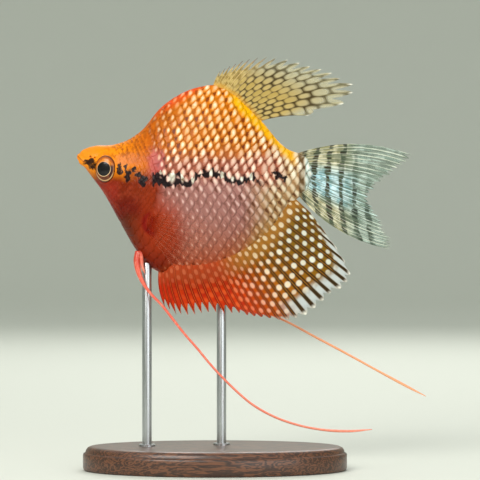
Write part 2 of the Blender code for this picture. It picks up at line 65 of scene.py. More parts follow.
# %% Import what the lesson needs
from types import SimpleNamespace

import bpy
import numpy as np
from mathutils import Vector

MM = 0.001  # the lists below are in millimetres, and Blender works in metres
print("frame:", len(frame["nodes"]), "solids")

# %% [markdown]
# ## The body as a formula
# A fish can be sculpted by hand, but a formula lets the skin, the scales and the eyes share one shape.
# We give a few sizes along the fish, from the snout at -X to the tail, and draw a smooth line through
# them: the back, the belly, half the width, and the height where the body is widest.

# %% Lines along the body
BACK = [(-34.4, 78.5), (-33.3, 80.1), (-30.0, 81.1), (-25.0, 81.6), (-21.3, 83.0), (-18.3, 85.2),
        (-14.1, 90.3), (-9.0, 94.0), (-2.5, 96.2), (1.0, 96.3), (4.6, 94.4), (11.2, 88.0), (18.2, 80.4),
        (21.0, 79.4), (25.0, 79.7)]
BELLY = [(-34.4, 78.1), (-32.4, 75.4), (-28.0, 69.2), (-24.1, 62.2), (-19.8, 54.8), (-15.5, 50.2),
         (-9.0, 48.8), (-2.5, 48.8), (4.0, 50.6), (10.5, 55.0), (15.2, 60.2), (19.0, 66.0), (21.5, 68.3),
         (25.0, 68.8)]
HALF_WIDTH = [(-34.4, 0.4), (-33.4, 1.6), (-31.5, 2.7), (-28.0, 4.0), (-24.0, 5.2), (-19.0, 6.7),
              (-13.0, 7.7), (-6.0, 8.2), (1.0, 7.8), (7.0, 6.5), (12.0, 4.8), (17.0, 2.9), (21.0, 1.9),
              (25.0, 1.3)]
WIDEST_AT = [(-34.4, 78.3), (-30.0, 76.4), (-26.0, 74.6), (-20.0, 71.0), (-12.0, 67.6), (-4.0, 67.0),
             (4.0, 69.2), (12.0, 72.0), (18.0, 73.6), (25.0, 74.2)]
ROUND_ABOVE = [(-34.4, 2.0), (-24.0, 1.9), (-15.0, 1.55), (25.0, 1.4)]
ROUND_BELOW = [(-34.4, 2.0), (-24.0, 1.5), (-10.0, 1.65), (8.0, 1.45), (25.0, 1.4)]
SNOUT_X = BACK[0][0]
STALK_X = 21.4  # the flesh of the tail ends here and tapers in between the tail fin's rays
SKIN_END = 24.2


def smooth(points):
    """A function through (place, value) pairs, with a slope at each pair taken from its neighbours."""
    places, values = np.array(points, float).T
    slopes = np.gradient(values, places)

    def value(place):
        place = np.clip(np.asarray(place, float), places[0], places[-1])
        i = np.clip(np.searchsorted(places, place, side="right") - 1, 0, len(places) - 2)
        width = places[i + 1] - places[i]
        t = (place - places[i]) / width
        return ((2 * t**3 - 3 * t**2 + 1) * values[i] + (t**3 - 2 * t**2 + t) * width * slopes[i]
                + (3 * t**2 - 2 * t**3) * values[i + 1] + (t**3 - t**2) * width * slopes[i + 1])

    return value


back, belly, half_width = smooth(BACK), smooth(BELLY), smooth(HALF_WIDTH)
widest_at, round_above, round_below = smooth(WIDEST_AT), smooth(ROUND_ABOVE), smooth(ROUND_BELOW)


def ease(value, low, high):
    """0 below low, 1 above high and an easy slope between."""
    t = np.clip((value - low) / (high - low), 0, 1)
    return t * t * (3 - 2 * t)


def bump(distance, width):
    """1 at distance 0, falling away over width."""
    return np.exp(-((distance / width) ** 2))


print("body:", round(back(0.0) - belly(0.0), 1), "mm deep at its middle")

# %% [markdown]
# ## From lines to a surface
# Each cross section is a rounded keel shape: an ellipse is too fat for this fish, so an exponent
# pulls it in towards the back and the belly. Angle 0 is the left flank and 90 degrees is the back.
# The gill cover is a plate of bone that stands out from the body and ends in a free edge. We lift the
# cheek in front of a line, the gill opening, and let the surface fall back to the body behind it.

# %% The surface of the body
GILL_OPENING = [(-19.6, 90.0), (-18.4, 84.6), (-16.3, 80.0), (-15.0, 76.2), (-14.2, 72.4), (-14.2, 68.6),
                (-15.4, 65.4), (-17.2, 63.6), (-19.6, 62.6), (-24.6, 61.9), (-30.0, 61.4)]
SWELLINGS = {"gill cover": (-16.6, 69.6, 7.8, 9.0, 0.85),  # centre X and Z, radii X and Z, height
             "cheek": (-22.6, 70.6, 4.6, 6.0, 0.35)}
HEAD_SPAN = (-30, -12)  # X between which the gill cover lifts the surface


def line_through(points, count):
    """Evenly spaced points on the smooth curve through a route."""
    points = np.array(points, float)
    lengths = np.concatenate([[0], np.cumsum(np.linalg.norm(np.diff(points, axis=0), axis=1))])
    shares = np.linspace(0, lengths[-1], count)
    return np.stack([smooth(list(zip(lengths, axis)))(shares) for axis in points.T], -1)


def distance_to(line, points):
    """Distance from points to a line. Its sign tells the side of the line in the side view."""
    near = np.full(len(points), np.inf)
    side = np.zeros(len(points))
    for a, b in zip(line, line[1:]):
        step = b - a
        t = np.clip(((points - a) @ step) / (step @ step), 0, 1)
        gap = points - (a + t[:, None] * step)
        distance = np.linalg.norm(gap, axis=1)
        closer = distance < near
        near[closer] = distance[closer]
        side[closer] = np.sign(step[0] * gap[:, -1] - step[-1] * gap[:, 0])[closer]
    return side * near


def swelling(x, z, shape):
    """A round hill of the given centre, radii and height."""
    cx, cz, rx, rz, height = shape
    inside = np.maximum(0, 1 - np.hypot((x - cx) / rx, (z - cz) / rz))
    return height * (3 - 2 * inside) * inside**2


gill_line = line_through(GILL_OPENING, 60)


def surface(x, angle):
    """Points of the body's surface for arrays of stations and angles."""
    x, angle = np.broadcast_arrays(np.asarray(x, float), np.asarray(angle, float))
    c, s = np.cos(angle), np.sin(angle)
    closing = np.sqrt(np.clip(1 - (np.maximum(x - STALK_X, 0) / (SKIN_END - STALK_X)) ** 2, 0, 1))
    middle = widest_at(x)
    height = np.where(s > 0, back(x) - middle, middle - belly(x)) * closing
    roundness = np.where(s > 0, round_above(x), round_below(x))
    y = -half_width(x) * closing * np.sign(c) * np.abs(c) ** (2 / roundness)
    z = middle + height * s
    head = (x > HEAD_SPAN[0]) & (x < HEAD_SPAN[1])
    place = np.stack([x[head], z[head]], -1)
    in_front = ease(-distance_to(gill_line, place), -0.22, 0.12)
    lift = np.zeros_like(x)
    lift[head] = sum(swelling(*place.T, shape) for shape in SWELLINGS.values()) * in_front
    y = y + np.sign(y) * lift * np.minimum(1, np.abs(y) / 2)
    return np.stack([x, y, z], -1)


def outward(x, angle):
    """The direction that points out of the body at a station and angle."""
    step_x, step_angle = 0.15, 0.006
    along = surface(x + step_x, angle) - surface(x - step_x, angle)
    upward = surface(x, angle + step_angle) - surface(x, angle - step_angle)
    normal = np.cross(along, upward)
    return normal / np.maximum(np.linalg.norm(normal, axis=-1, keepdims=True), 1e-9)


def flank(x, z):
    """How far the flank stands from the middle plane at a place of the side view."""
    middle = widest_at(x)
    height = back(x) - middle if z > middle else middle - belly(x)
    roundness = round_above(x) if z > middle else round_below(x)
    return float(half_width(x) * (1 - min(abs(z - middle) / height, 1.0) ** 2) ** (1 / roundness))


print("outward at the flank:", np.round(outward(np.array([0.0]), np.array([0.0])), 2)[0])

# %% [markdown]
# ## Mesh helpers
# Every piece below is a grid of points worked out with numpy. These helpers turn a grid into faces,
# give it UV maps and a material, hang the piece on the frame's body and hide the solids it stands for.

# %% Turn grids into pieces
rng = np.random.default_rng(7)
BOTH_SIDES = ((-1, "left"), (1, "right"))


def turns(count):
    """Angles of a full turn."""
    return np.arange(count) / count * 2 * math.pi


def grid_faces(rows, columns, closed=False):
    """Faces between the rows of a grid of points; closed joins the last column to the first."""
    r, c = np.meshgrid(np.arange(rows - 1), np.arange(columns if closed else columns - 1), indexing="ij")
    after = (c + 1) % columns
    corners = [r * columns + c, r * columns + after, (r + 1) * columns + after, (r + 1) * columns + c]
    return np.stack(corners, -1).reshape(-1, 4)


def sheet_faces(rows, columns):
    """Faces of a thin plate: a grid, the same grid beneath it, and the rim between the two."""
    grid = grid_faces(rows, columns)
    numbers = np.arange(rows * columns).reshape(rows, columns)
    edge = np.concatenate([numbers[0], numbers[1:, -1], numbers[-1, -2::-1], numbers[-2:0:-1, 0]])
    after, below = np.roll(edge, -1), rows * columns
    rim = np.stack([edge, after, after + below, edge + below], -1)
    return np.concatenate([grid[:, ::-1], grid + below, rim])


def end_fans(count, sectors):
    """Triangles that close rings of points in all count long, with one more point at each end."""
    fans = []
    for i in range(sectors):
        j = (i + 1) % sectors
        fans.append((count, j, i))
        fans.append((count + 1, count - sectors + i, count - sectors + j))
    return fans


def tube_faces(rings, sides):
    """Faces of a closed tube with a flat face at each end."""
    ends = [list(range(sides))[::-1], [(rings - 1) * sides + i for i in range(sides)]]
    return grid_faces(rings, sides, closed=True).tolist() + ends


def new_piece(name, points, faces, material, uv_maps=None):
    """A smooth object from points in millimetres. uv_maps gives two numbers for each point."""
    mesh = bpy.data.meshes.new(name)
    mesh.from_pydata((points * MM).tolist(), [], [list(face) for face in faces])
    for label, values in (uv_maps or {}).items():
        layer = mesh.uv_layers.new(name=label)
        corners = np.empty(len(mesh.loops), dtype=np.int32)
        mesh.loops.foreach_get("vertex_index", corners)
        layer.data.foreach_set("uv", values[corners].astype(np.float32).ravel())
    mesh.shade_smooth()
    mesh.materials.append(material)
    piece = bpy.data.objects.new(name, mesh)
    bpy.context.scene.collection.objects.link(piece)
    return piece


def settle(piece, slot, *nodes):
    """The piece rides on the one body of this still model and stands for the frame's nodes."""
    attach(piece, "root")
    if nodes:
        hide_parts(*nodes)
    triangles = sum(len(face.vertices) - 2 for face in piece.data.polygons)
    print(f"{piece.name}: {triangles} triangles")


print("faces of a plate of 2 by 2 points:", len(sheet_faces(2, 2)))

# %% [markdown]
# ## Shader helpers
# Materials are node graphs, and linking each node by hand makes long code. So a node's output is
# wrapped in a small class that knows what + and * mean: each sign adds a Math node to the same graph.
# A mask then reads like a sum. `node` adds any other node, and the helpers after it name the few
# kinds that we use most. Inks are written as six-figure colour codes.

# %% Short words for nodes
class Value:
    """A node's output. Signs between values add Math nodes, as in a + b, a * 0.5, 1 - a or abs(a)."""

    def __init__(self, tree, socket):
        self.tree = tree
        self.socket = socket

    def math(self, operation, *others):
        return node(self.tree, "Math", (self, *others), operation=operation)

    def after(self, operation, other):
        return node(self.tree, "Math", (other, self), operation=operation)

    def __add__(self, other):
        return self.math("ADD", other)

    def __sub__(self, other):
        return self.math("SUBTRACT", other)

    def __rsub__(self, other):
        return self.after("SUBTRACT", other)

    def __mul__(self, other):
        return self.math("MULTIPLY", other)

    def __truediv__(self, other):
        return self.math("DIVIDE", other)

    def __rtruediv__(self, other):
        return self.after("DIVIDE", other)

    def __pow__(self, other):
        return self.math("POWER", other)

    def __rpow__(self, other):
        return self.after("POWER", other)

    def __abs__(self):
        return self.math("ABSOLUTE")

    def to(self, socket):
        """Links the value to a socket."""
        self.tree.links.new(self.socket, socket)


def ink(code):
    """A colour from its usual six-figure code, as the linear light that shaders work in."""
    parts = [int(code[i:i + 2], 16) / 255 for i in (0, 2, 4)]
    return (*(p / 12.92 if p <= 0.04045 else ((p + 0.055) / 1.055) ** 2.4 for p in parts), 1)


def plug(socket, value):
    """Feeds a socket with a value, an ink's code, a number or a vector."""
    if isinstance(value, Value):
        value.to(socket)
    else:
        socket.default_value = ink(value) if isinstance(value, str) else value


def node(tree, kind, inputs=(), out=0, **settings):
    """Adds a node, sets it up, feeds its inputs and gives one output."""
    new = tree.nodes.new("ShaderNode" + kind)
    for label, value in settings.items():
        setattr(new, label, value)
    for label, value in inputs.items() if isinstance(inputs, dict) else enumerate(inputs):
        plug(new.inputs[label], value)
    return Value(tree, new.outputs[out])


def fade(value, low, high):
    """A mask that rises from 0 at low to 1 at high, or falls where low is the larger."""
    return node(value.tree, "MapRange", {0: value, 1: low, 2: high}, interpolation_type="SMOOTHSTEP")


def mix(mask, below, above):
    """The second colour laid over the first where the mask is 1."""
    return node(mask.tree, "Mix", {0: mask, 6: below, 7: above}, 2, data_type="RGBA")


def split(vector):
    """The three parts of a vector."""
    parts = vector.tree.nodes.new("ShaderNodeSeparateXYZ")
    vector.to(parts.inputs[0])
    return [Value(vector.tree, part) for part in parts.outputs]


def joined(first, second):
    """A vector of two values."""
    return node(first.tree, "CombineXYZ", {0: first, 1: second})


def noise(place, scale, detail=2.0, stretch=(1, 1, 1)):
    """A noise texture. stretch above 1 packs it closer along an axis and below 1 draws it out."""
    placed = node(place.tree, "Mapping", {0: place, 3: stretch})
    return node(place.tree, "TexNoise", {"Vector": placed, "Scale": scale, "Detail": detail})


def new_group(name, inputs, outputs):
    """A node group. inputs and outputs give each socket's name its kind: Float, Vector or Color."""
    tree = bpy.data.node_groups.new(name, "ShaderNodeTree")
    for sockets, way in ((inputs, "INPUT"), (outputs, "OUTPUT")):
        for label, kind in sockets.items():
            tree.interface.new_socket(label, in_out=way, socket_type="NodeSocket" + kind)
    entry = tree.nodes.new("NodeGroupInput").outputs
    leave = tree.nodes.new("NodeGroupOutput").inputs
    return tree, {label: Value(tree, entry[label]) for label in inputs}, leave


def use_group(tree, group, inputs):
    """Places a group in a tree and gives its outputs by name."""
    new = tree.nodes.new("ShaderNodeGroup")
    new.node_tree = group
    for label, value in inputs.items():
        plug(new.inputs[label], value)
    return {socket.name: Value(tree, socket) for socket in new.outputs}


def new_material(name, **fixed):
    """A material with one Principled shader. What is the same all over is typed on its own sockets."""
    material = bpy.data.materials.new(name)
    material.use_nodes = True
    sockets = material.node_tree.nodes["Principled BSDF"].inputs
    for label, value in fixed.items():
        plug(sockets[label.replace("_", " ")], value)
    return material, material.node_tree, sockets


def raised(height, distance, strength=0.5):
    """A Bump node fed by a height, in metres of relief."""
    return node(height.tree, "Bump", {"Strength": strength, "Distance": distance, "Height": height})


def place_in_mm(tree):
    """The place on the fish in millimetres, from its object coordinates."""
    return node(tree, "VectorMath", {0: node(tree, "TexCoord", out=3), 3: 1 / MM}, operation="SCALE")


print("white ink is", ink("FFFFFF"))

# %% [markdown]
# ## Masks by place
# The markings sit at known places of the side view, so most masks are drawn from X and Z. A border drawn
# exactly looks painted on, so the place is first pushed about a little by noise. The black stripe is
# a zigzag, and a Float Curve node can hold such a line.

# %% Place masks
def wandering(place, scale, detail, reach):
    """The place, pushed about by noise by up to half of reach."""
    push = node(place.tree, "TexNoise", {"Vector": place, "Scale": scale, "Detail": detail}, 1)
    push = node(place.tree, "VectorMath", {0: push, 1: (0.5, 0.5, 0.5)}, operation="SUBTRACT")
    push = node(place.tree, "VectorMath", {0: push, 3: reach}, operation="SCALE")
    return node(place.tree, "VectorMath", {0: place, 1: push}, operation="ADD")


def around(x, z, centre, radii, soft=0.5):
    """1 inside an oval of the side view. soft is the width of its edge, as a share of the oval."""
    across, up = (x - centre[0]) / radii[0], (z - centre[1]) / radii[1]
    return fade((across * across + up * up).math("SQRT"), 1 + soft / 2, 1 - soft / 2)


def above_slant(x, z, slant, start=0.0):
    """Height above a slanted line of the side view."""
    return z - x * slant - start


def drawn_line(x, points):
    """The height of a line through (x, z) points, from a Float Curve node, whose axes run from 0 to 1."""
    first, last = points[0][0], points[-1][0]
    low, high = min(z for _, z in points) - 1, max(z for _, z in points) + 1
    new = x.tree.nodes.new("ShaderNodeFloatCurve")
    curve = new.mapping.curves[0]
    spots = [((px - first) / (last - first), (pz - low) / (high - low)) for px, pz in points]
    curve.points[0].location, curve.points[-1].location = spots[0], spots[-1]
    for spot in spots[1:-1]:
        curve.points.new(*spot)
    new.mapping.update()
    plug(new.inputs["Value"], (x - first) / (last - first))
    return Value(x.tree, new.outputs[0]) * (high - low) + low


print("place masks ready")

# %% [markdown]
# ## The fish's colours
# The flank's colour changes with place: a yellow-orange snout, a deep red cheek and throat, an orange
# back with a bright slope, a mauve belly and a beige tail. Painting it as an image would need a
# picture file. Instead one node group reads the place in millimetres and mixes a few inks with soft
# masks. The skin and the scales both use it, so that their markings agree. It has one colour for the
# ground and one for the pearls on it. We begin with the flank and the bright ridge of the back.

# %% Flank and ridge
def paint_flank(at):
    """Ground and pearl from the belly up: lilac, mauve, pink and orange."""
    ground = mix(fade(at.z, 54, 66), "A2604E", "9C6A62")
    ground = mix(fade(at.z, 70.5, 75), ground, "9C5640")
    ground = mix(fade(at.z, 75.5, 81), ground, "BC6204")
    ground = mix(fade(above_slant(at.x, at.z, -0.4), 84, 92), ground, "D47404")
    pearl = mix(fade(at.z, 54, 66), "BA8070", "C49690")
    pearl = mix(fade(at.z, 69, 75), pearl, "E2AC98")
    pearl = mix(fade(at.z, 75.5, 82), pearl, "F2B468")
    # the rear turns olive beige
    rear = fade(at.x, 6, 15) * fade(above_slant(at.x, at.z, -0.15), 76.2, 71)
    rear = rear.math("MAXIMUM", fade(at.exact_x, 15.5, 18.5))
    ground = mix(rear, ground, "AA8258")
    pearl = mix(fade(at.x, 7, 17), pearl, "DEC8A8")
    # along the belly the flank takes the anal fin's colours
    low = (1 - around(at.x, at.z, (-4.5, 74.5), (21.6, 21.6), 0.42)) * fade(at.z, 66, 58)
    ground = mix(low, ground, mix(fade(at.x, 0, 12), "B4481C", "A8701C"))
    pearl = mix(low, pearl, mix(fade(at.x, 0, 12), "CC6C44", "EACA9C"))
    return ground, pearl


def paint_ridge(at, ground, pearl):
    """The ridge is red-orange in front of the dorsal fin and yellow on the slope behind it."""
    behind = above_slant(at.exact_x, at.exact_z, -0.98, 98.2)
    on_slope = fade(behind, -3.8, -1.2) * fade(at.exact_x, 2, 6) * fade(at.exact_x, 21, 18.5)
    ground = mix(on_slope, ground, "FAB202")
    pearl = mix(on_slope, pearl, "FFC61E")
    before = above_slant(at.exact_x, at.exact_z, 0.62, 99.2)
    ground = mix(fade(before, -3.4, -0.4) * fade(at.exact_x, 3, -2), ground, "E04E12")
    return ground, pearl, on_slope


print("flank and ridge ready")

# %% [markdown]
# ## Colours of the head and breast
# The head has an orange brow, a yellow snout and a red cheek. Its border to the scaled flank follows the
# gill cover. Breast, chin and blushes are soft ovals, so a list holds them and one loop paints them.

# %% Head and breast
# centre, radii, softness, strength and ink of each soft oval
TINTS = {"breast": ((-19.0, 56.5), (10.5, 9.5), 0.75, 1.0, "640C00"),
         "chin": ((-21.4, 59.4), (3.4, 5.0), 0.9, 0.7, "5E2204"),
         "glow behind the pectoral fin": ((-13.6, 60.0), (5.4, 7.5), 1.2, 0.85, "9C3008"),
         "blush at the gills": ((-14.4, 76.8), (2.2, 3.2), 0.9, 0.6, "B85460"),
         "blush behind the eye": ((-21.6, 77.6), (3.6, 1.5), 0.9, 0.4, "C06A50"),
         "blush at the stripe's end": ((12.6, 74.6), (4.4, 3.6), 0.9, 0.55, "B05C40")}


def paint_head(at, ground):
    """Snout, brow and cheek, and the mask of the head."""
    from_gill = at.x + abs(at.z - 71) * 0.28
    head = mix(fade(at.z, 77, 82), fade(from_gill, -11, -14), fade(from_gill, -6, -15))
    brow = mix(fade(at.x, -15, -25), "BE5804", "F08A00")
    brow = mix(fade(at.x, -27, -31.5), brow, "EC8A18")
    cheek = mix(fade(at.z, 76.5, 71.5), brow, "742002")
    cheek = mix(fade(at.z, 70.5, 64), cheek, "6C0E00")
    cheek = mix(around(at.x, at.z, (-16.5, 68.8), (3.4, 4.0), 0.9), cheek, "7C2606")
    cheek = mix(around(at.x, at.z, (-27.4, 69.2), (3.4, 3.4), 0.9) * 0.6, cheek, "9E2A1C")
    patchy = fade(noise(at.place, 0.5, 3.0), 0.45, 0.7)
    cheek = mix(patchy * fade(at.z, 75, 71) * 0.35, cheek, "B0452A")
    return mix(head, ground, cheek), head


def paint_tints(at, ground, pearl):
    """The soft ovals of the list, and their masks."""
    masks = {}
    for name, (centre, radii, soft, strength, code) in TINTS.items():
        masks[name] = around(at.x, at.z, centre, radii, soft)
        ground = mix(masks[name] * strength, ground, code)
    pearl = mix(masks["blush at the stripe's end"] * 0.55, pearl, "E4A48C")
    # a deep red crescent where the pectoral fin grows out
    crescent = around(at.exact_x, at.exact_z, (-15.2, 61.6), (2.9, 2.9), 0.35)
    crescent = crescent - around(at.exact_x, at.exact_z, (-13.8, 61.8), (3.0, 3.0), 0.4)
    ground = mix(crescent.math("MAXIMUM", 0.0) * 0.9, ground, "7A0400")
    return ground, pearl, masks


print(len(TINTS), "soft tints")

# %% [markdown]
# ## The broken stripe
# A ragged black stripe runs from the snout to the tail. It is the species' mark, so we draw it from
# given points: a zigzag, loose spots before and behind the eye and before the tail, and pale teeth where
# pearls hang into it from above. Its thickness varies with noise, and its lower half hides the pearls.

# %% The stripe
STRIPE_LINE = [(-15.8, 72.7), (-12.4, 72.5), (-11.6, 71.7), (-10.6, 72.7), (-8.4, 72.4), (-7.2, 71.8),
               (-5.4, 71.5), (-4.8, 73.1), (-3.4, 73.7), (-0.6, 74.1), (1.8, 73.6), (3.0, 72.6),
               (5.8, 72.2), (7.6, 72.5), (9.6, 73.2), (10.6, 72.2), (12.5, 71.8)]
# centre and radii of each loose spot and each tooth
STRIPE_SPOTS = [((-31.1, 76.8), (1.25, 0.85)), ((-30.2, 75.8), (1.1, 0.95)), ((-23.7, 74.9), (0.6, 1.5)),
                ((-22.2, 75.7), (0.5, 1.0)), ((-21.6, 73.6), (0.8, 1.5)), ((-20.0, 75.0), (0.75, 0.6)),
                ((-18.9, 73.6), (0.95, 0.75)), ((-17.8, 72.1), (1.0, 1.2)), ((14.8, 74.2), (0.7, 0.75)),
                ((15.9, 73.5), (1.1, 0.85)), ((17.1, 72.9), (0.85, 0.7))]
STRIPE_TEETH = [((-13.3, 74.6), (0.5, 0.9)), ((-10.5, 73.5), (0.8, 1.9)), ((-7.9, 73.4), (0.5, 1.7)),
                ((-5.4, 72.9), (0.45, 1.6)), ((-0.9, 74.0), (0.4, 1.2)), ((1.9, 73.4), (0.45, 1.3)),
                ((4.4, 73.2), (0.45, 1.2)), ((6.7, 73.0), (0.4, 1.0)), ((9.0, 73.2), (0.4, 1.1))]


def any_of(masks):
    """A mask that is 1 where any of the masks is."""
    whole = masks[0]
    for mask in masks[1:]:
        whole = whole.math("MAXIMUM", mask)
    return whole


def paint_stripe(at, ground, pearl):
    """The stripe, its spots and its teeth, and the mask that hides pearls under it."""
    above_line = at.exact_z - drawn_line(at.exact_x, STRIPE_LINE)
    ragged = noise(at.place, 1.3, 1.0, (1, 1, 0.3)) - 0.5
    thick = fade(at.exact_x, -5, -10) * 0.75 + 0.85 + ragged * 3.2
    run = fade(at.exact_x, -15.9, -15.1) * fade(at.exact_x, 13.2, 10.2)
    stripe = fade(abs(above_line) - thick, 0.2, -0.2) * run
    hidden = stripe * fade(above_line, 0.35, -0.05)
    teeth = any_of([around(at.exact_x, at.exact_z, *tooth, 0.7) for tooth in STRIPE_TEETH])
    ground = mix(stripe * teeth, ground, "CDC6B4")
    pearl = mix(stripe * teeth, pearl, "EEF2E8")
    x, _, z = split(wandering(at.place, 0.9, 2.0, 2.4))
    spots = any_of([around(x, z, *spot, 0.45) for spot in STRIPE_SPOTS])
    stripe = (stripe * (1 - teeth)).math("MAXIMUM", spots)
    hidden = (hidden * (1 - teeth)).math("MAXIMUM", spots)
    return mix(stripe * 0.97, ground, "08070C"), pearl, hidden


print(len(STRIPE_SPOTS), "spots and", len(STRIPE_TEETH), "teeth")

# %% [markdown]
# ## The colour group
# Now the parts come together in one node group with named sockets. Its last steps are the tail's first
# bar, the brow's freckles, and a mask that says where pearls show at all.

# %% Build the colour group
def make_flank_colours():
    outputs = {"Ground": "Color", "Pearl": "Color", "Hidden": "Float", "Pearled": "Float"}
    tree, entry, leave = new_group("flank_colours", {"Place": "Vector"}, outputs)
    place = entry["Place"]
    exact_x, _, exact_z = split(place)
    x, _, z = split(wandering(place, 0.35, 3.0, 3.2))
    at = SimpleNamespace(place=place, x=x, z=z, exact_x=exact_x, exact_z=exact_z)
    ground, pearl = paint_flank(at)
    ground, pearl, on_slope = paint_ridge(at, ground, pearl)
    ground, head = paint_head(at, ground)
    ground, pearl, tints = paint_tints(at, ground, pearl)
    ground, pearl, hidden = paint_stripe(at, ground, pearl)
    # the first bar of the tail crosses the end of the flesh, which is pale behind it
    bar = fade(abs(exact_x - 21.6), 0.9, 0.4)
    ground = mix(bar * 0.75, ground, "3C2A10")
    pearl = mix(bar * 0.6, pearl, "5C4420")
    past_bar = fade(exact_x, 22, 22.9)
    ground = mix(past_bar, ground, "A4B0A2")
    mix(past_bar, pearl, "E0ECEC").to(leave["Pearl"])
    # the brow and the nape are freckled with brown
    freckled = fade(z, 75.5, 79) * fade(x, -29, -24) * fade(x, -8, -13)
    specks = fade(noise(place, 0.85, 2.0, (1.5, 1, 0.8)), 0.48, 0.62)
    mix(specks * freckled * 0.6, ground, "9C4A04").to(leave["Ground"])
    hidden.to(leave["Hidden"])
    # pearls fade out on the head, the breast, the yellow slope and the edge of the nape
    nape_edge = fade(above_slant(x, z, 0.62, 99.2), -9, -1.5) * fade(x, 0, -9)
    pearled = (1 - head) * (1 - tints["breast"]) * (1 - tints["glow behind the pectoral fin"] * 0.6)
    (pearled * (1 - on_slope * 0.8) * (1 - nape_edge * 0.5)).to(leave["Pearled"])
    return tree


flank_colours = make_flank_colours()
print("flank_colours:", len(flank_colours.nodes), "nodes")

# %% [markdown]
# ## Where the eyes and the mouth sit
# Lips, nostrils, the groove of the cheek and the eye sockets are small forms of the skin. Each follows a
# line or a spot, given here. An eye has a frame of its own: three directions, out of the head, forward
# and up. A cross product of two steps along the flank gives the first.

# %% Sizes of the head's forms
COAT = 0.2  # the skin lies this deep inside the solid model, and the scales fill the space
MOUTH = [(-32.1, 1.8, 76.3), (-33.15, 1.45, 77.45), (-33.85, 0.8, 78.15), (-34.3, 0.0, 78.4)]
NOSTRILS = [(-31.0, 78.3, 0.22), (-29.9, 78.0, 0.18)]  # X, Z and radius
CHEEK_GROOVE = (-23.8, 71.6, 5.3)
EYE = (-27.3, 75.15)
EYE_RADIUS, EYE_DEPTH, EYE_SUNK = 2.72, 1.5, 0.8
EYE_OPENING = 2.55
EYE_TALL = 1.24  # the opening is this much taller than wide


def eye_frame(side):
    """Centre of an eye and its directions out of the head, forward and up. side is -1 for the left."""
    x, z = EYE
    step = 0.4
    along = Vector((2 * step, flank(x - step, z) - flank(x + step, z), 0))
    upward = Vector((0, flank(x, z - step) - flank(x, z + step), 2 * step))
    facing = np.array(along.cross(upward).normalized())
    centre = np.array((x, -flank(x, z), z)) - facing * EYE_SUNK
    forward = np.cross(facing, (0, 0, 1.0))
    forward /= np.linalg.norm(forward)
    up = np.cross(forward, facing)
    return [part * np.array((1, -side, 1)) for part in (centre, facing, forward, up)]


print("the left eye looks towards", np.round(eye_frame(-1)[1], 2))

# %% [markdown]
# ## One skin
# The skin is a sphere's grid of rings, wrapped on the body's formula, so it has no seam. The rings crowd
# together at the snout, where the small forms are. It lies a little inside the solid model, because the
# scales are laid over it. The small forms are sculpted by moving points in or out, each by a rule that
# depends on how near a point is to a line or a spot.

# %% Sculpt the skin
RINGS, SEGMENTS = 250, 336
CROWDING = 1.6


def mouth_relief(x, y, z):
    """Lips and the line between them."""
    near = np.abs(distance_to(line_through(MOUTH, 30), np.stack([x, np.abs(y), z], -1)))
    full = ease(x, -31.6, -33.0)
    lips = 0.2 * bump(near - 0.4, 0.24) * (0.25 + 0.75 * full) - 0.42 * bump(near, 0.12) * full
    return lips - 0.07 * bump(near - 0.95, 0.2) * full


def eye_relief(moved, y, side):
    """Raises the skin into a rim round the eye and sinks it under the eye."""
    centre, facing, forward, up = eye_frame(side)
    offset = moved - centre
    away = np.hypot(offset @ forward, offset @ up / EYE_TALL)
    close = (away < 5) & (np.sign(y) == side)
    rise = 0.2 * bump(away - 2.85, 0.3) - 0.07 * bump(away - 3.55, 0.3)
    sink = -(offset @ facing + 0.35) * ease(away, EYE_OPENING + 0.04, EYE_OPENING - 0.1)
    moved[close] += ((rise + sink)[:, None] * facing)[close]


def sculpted(points, normals):
    """Moves the skin's points in or out along its normals, in millimetres."""
    x, y, z = points.T
    relief = -0.03 - (COAT - 0.03) * ease(x, -31.0, -27.0)
    front = x < -29
    relief[front] += mouth_relief(x[front], y[front], z[front])
    # a full chin, and a brow that falls away to the lips
    relief += 0.5 * bump(np.hypot(x + 33.5, z - 76.8), 0.9) - 0.42 * bump(np.hypot(x + 32.3, z - 80.8), 1.4)
    # nostrils with a thin raised edge
    for cx, cz, radius in NOSTRILS:
        away = np.hypot(x - cx, z - cz)
        relief += 0.07 * bump(away - 1.7 * radius, 0.12) - 0.38 * bump(away, radius)
    # the groove behind the cheek and the opening of the gills
    cx, cz, radius = CHEEK_GROOVE
    turn = np.degrees(np.arctan2(z - cz, x - cx))
    off = np.hypot(x - cx, z - cz) - radius
    arc = ease(turn, -115, -85) * ease(turn, 48, 20)
    relief += arc * (0.09 * bump(off + 0.45, 0.4) - 0.16 * bump(off, 0.2))
    gills = (x < -11) & (x > -30)
    behind = distance_to(gill_line, points[gills][:, ::2])
    relief[gills] -= 0.3 * bump(behind - 0.22, 0.2) * ease(z[gills], 80.5, 77.5)
    moved = points + normals * relief[:, None]
    for side, _ in BOTH_SIDES:
        eye_relief(moved, y, side)
    return moved


def make_skin(material):
    stations = SNOUT_X + (SKIN_END - SNOUT_X) * (np.arange(1, RINGS) / RINGS) ** CROWDING
    x, angle = (part.ravel() for part in np.meshgrid(stations, turns(SEGMENTS), indexing="ij"))
    points = sculpted(surface(x, angle), outward(x, angle))
    snout = points[:SEGMENTS].mean(axis=0) - (0.02, 0, 0)
    tail = points[-SEGMENTS:].mean(axis=0)
    faces = grid_faces(RINGS - 1, SEGMENTS, closed=True)[:, ::-1].tolist() + end_fans(len(points), SEGMENTS)
    return new_piece("skin", np.concatenate([points, [snout, tail]]), faces, material)


print("the skin has", RINGS - 1, "rings of", SEGMENTS, "points")

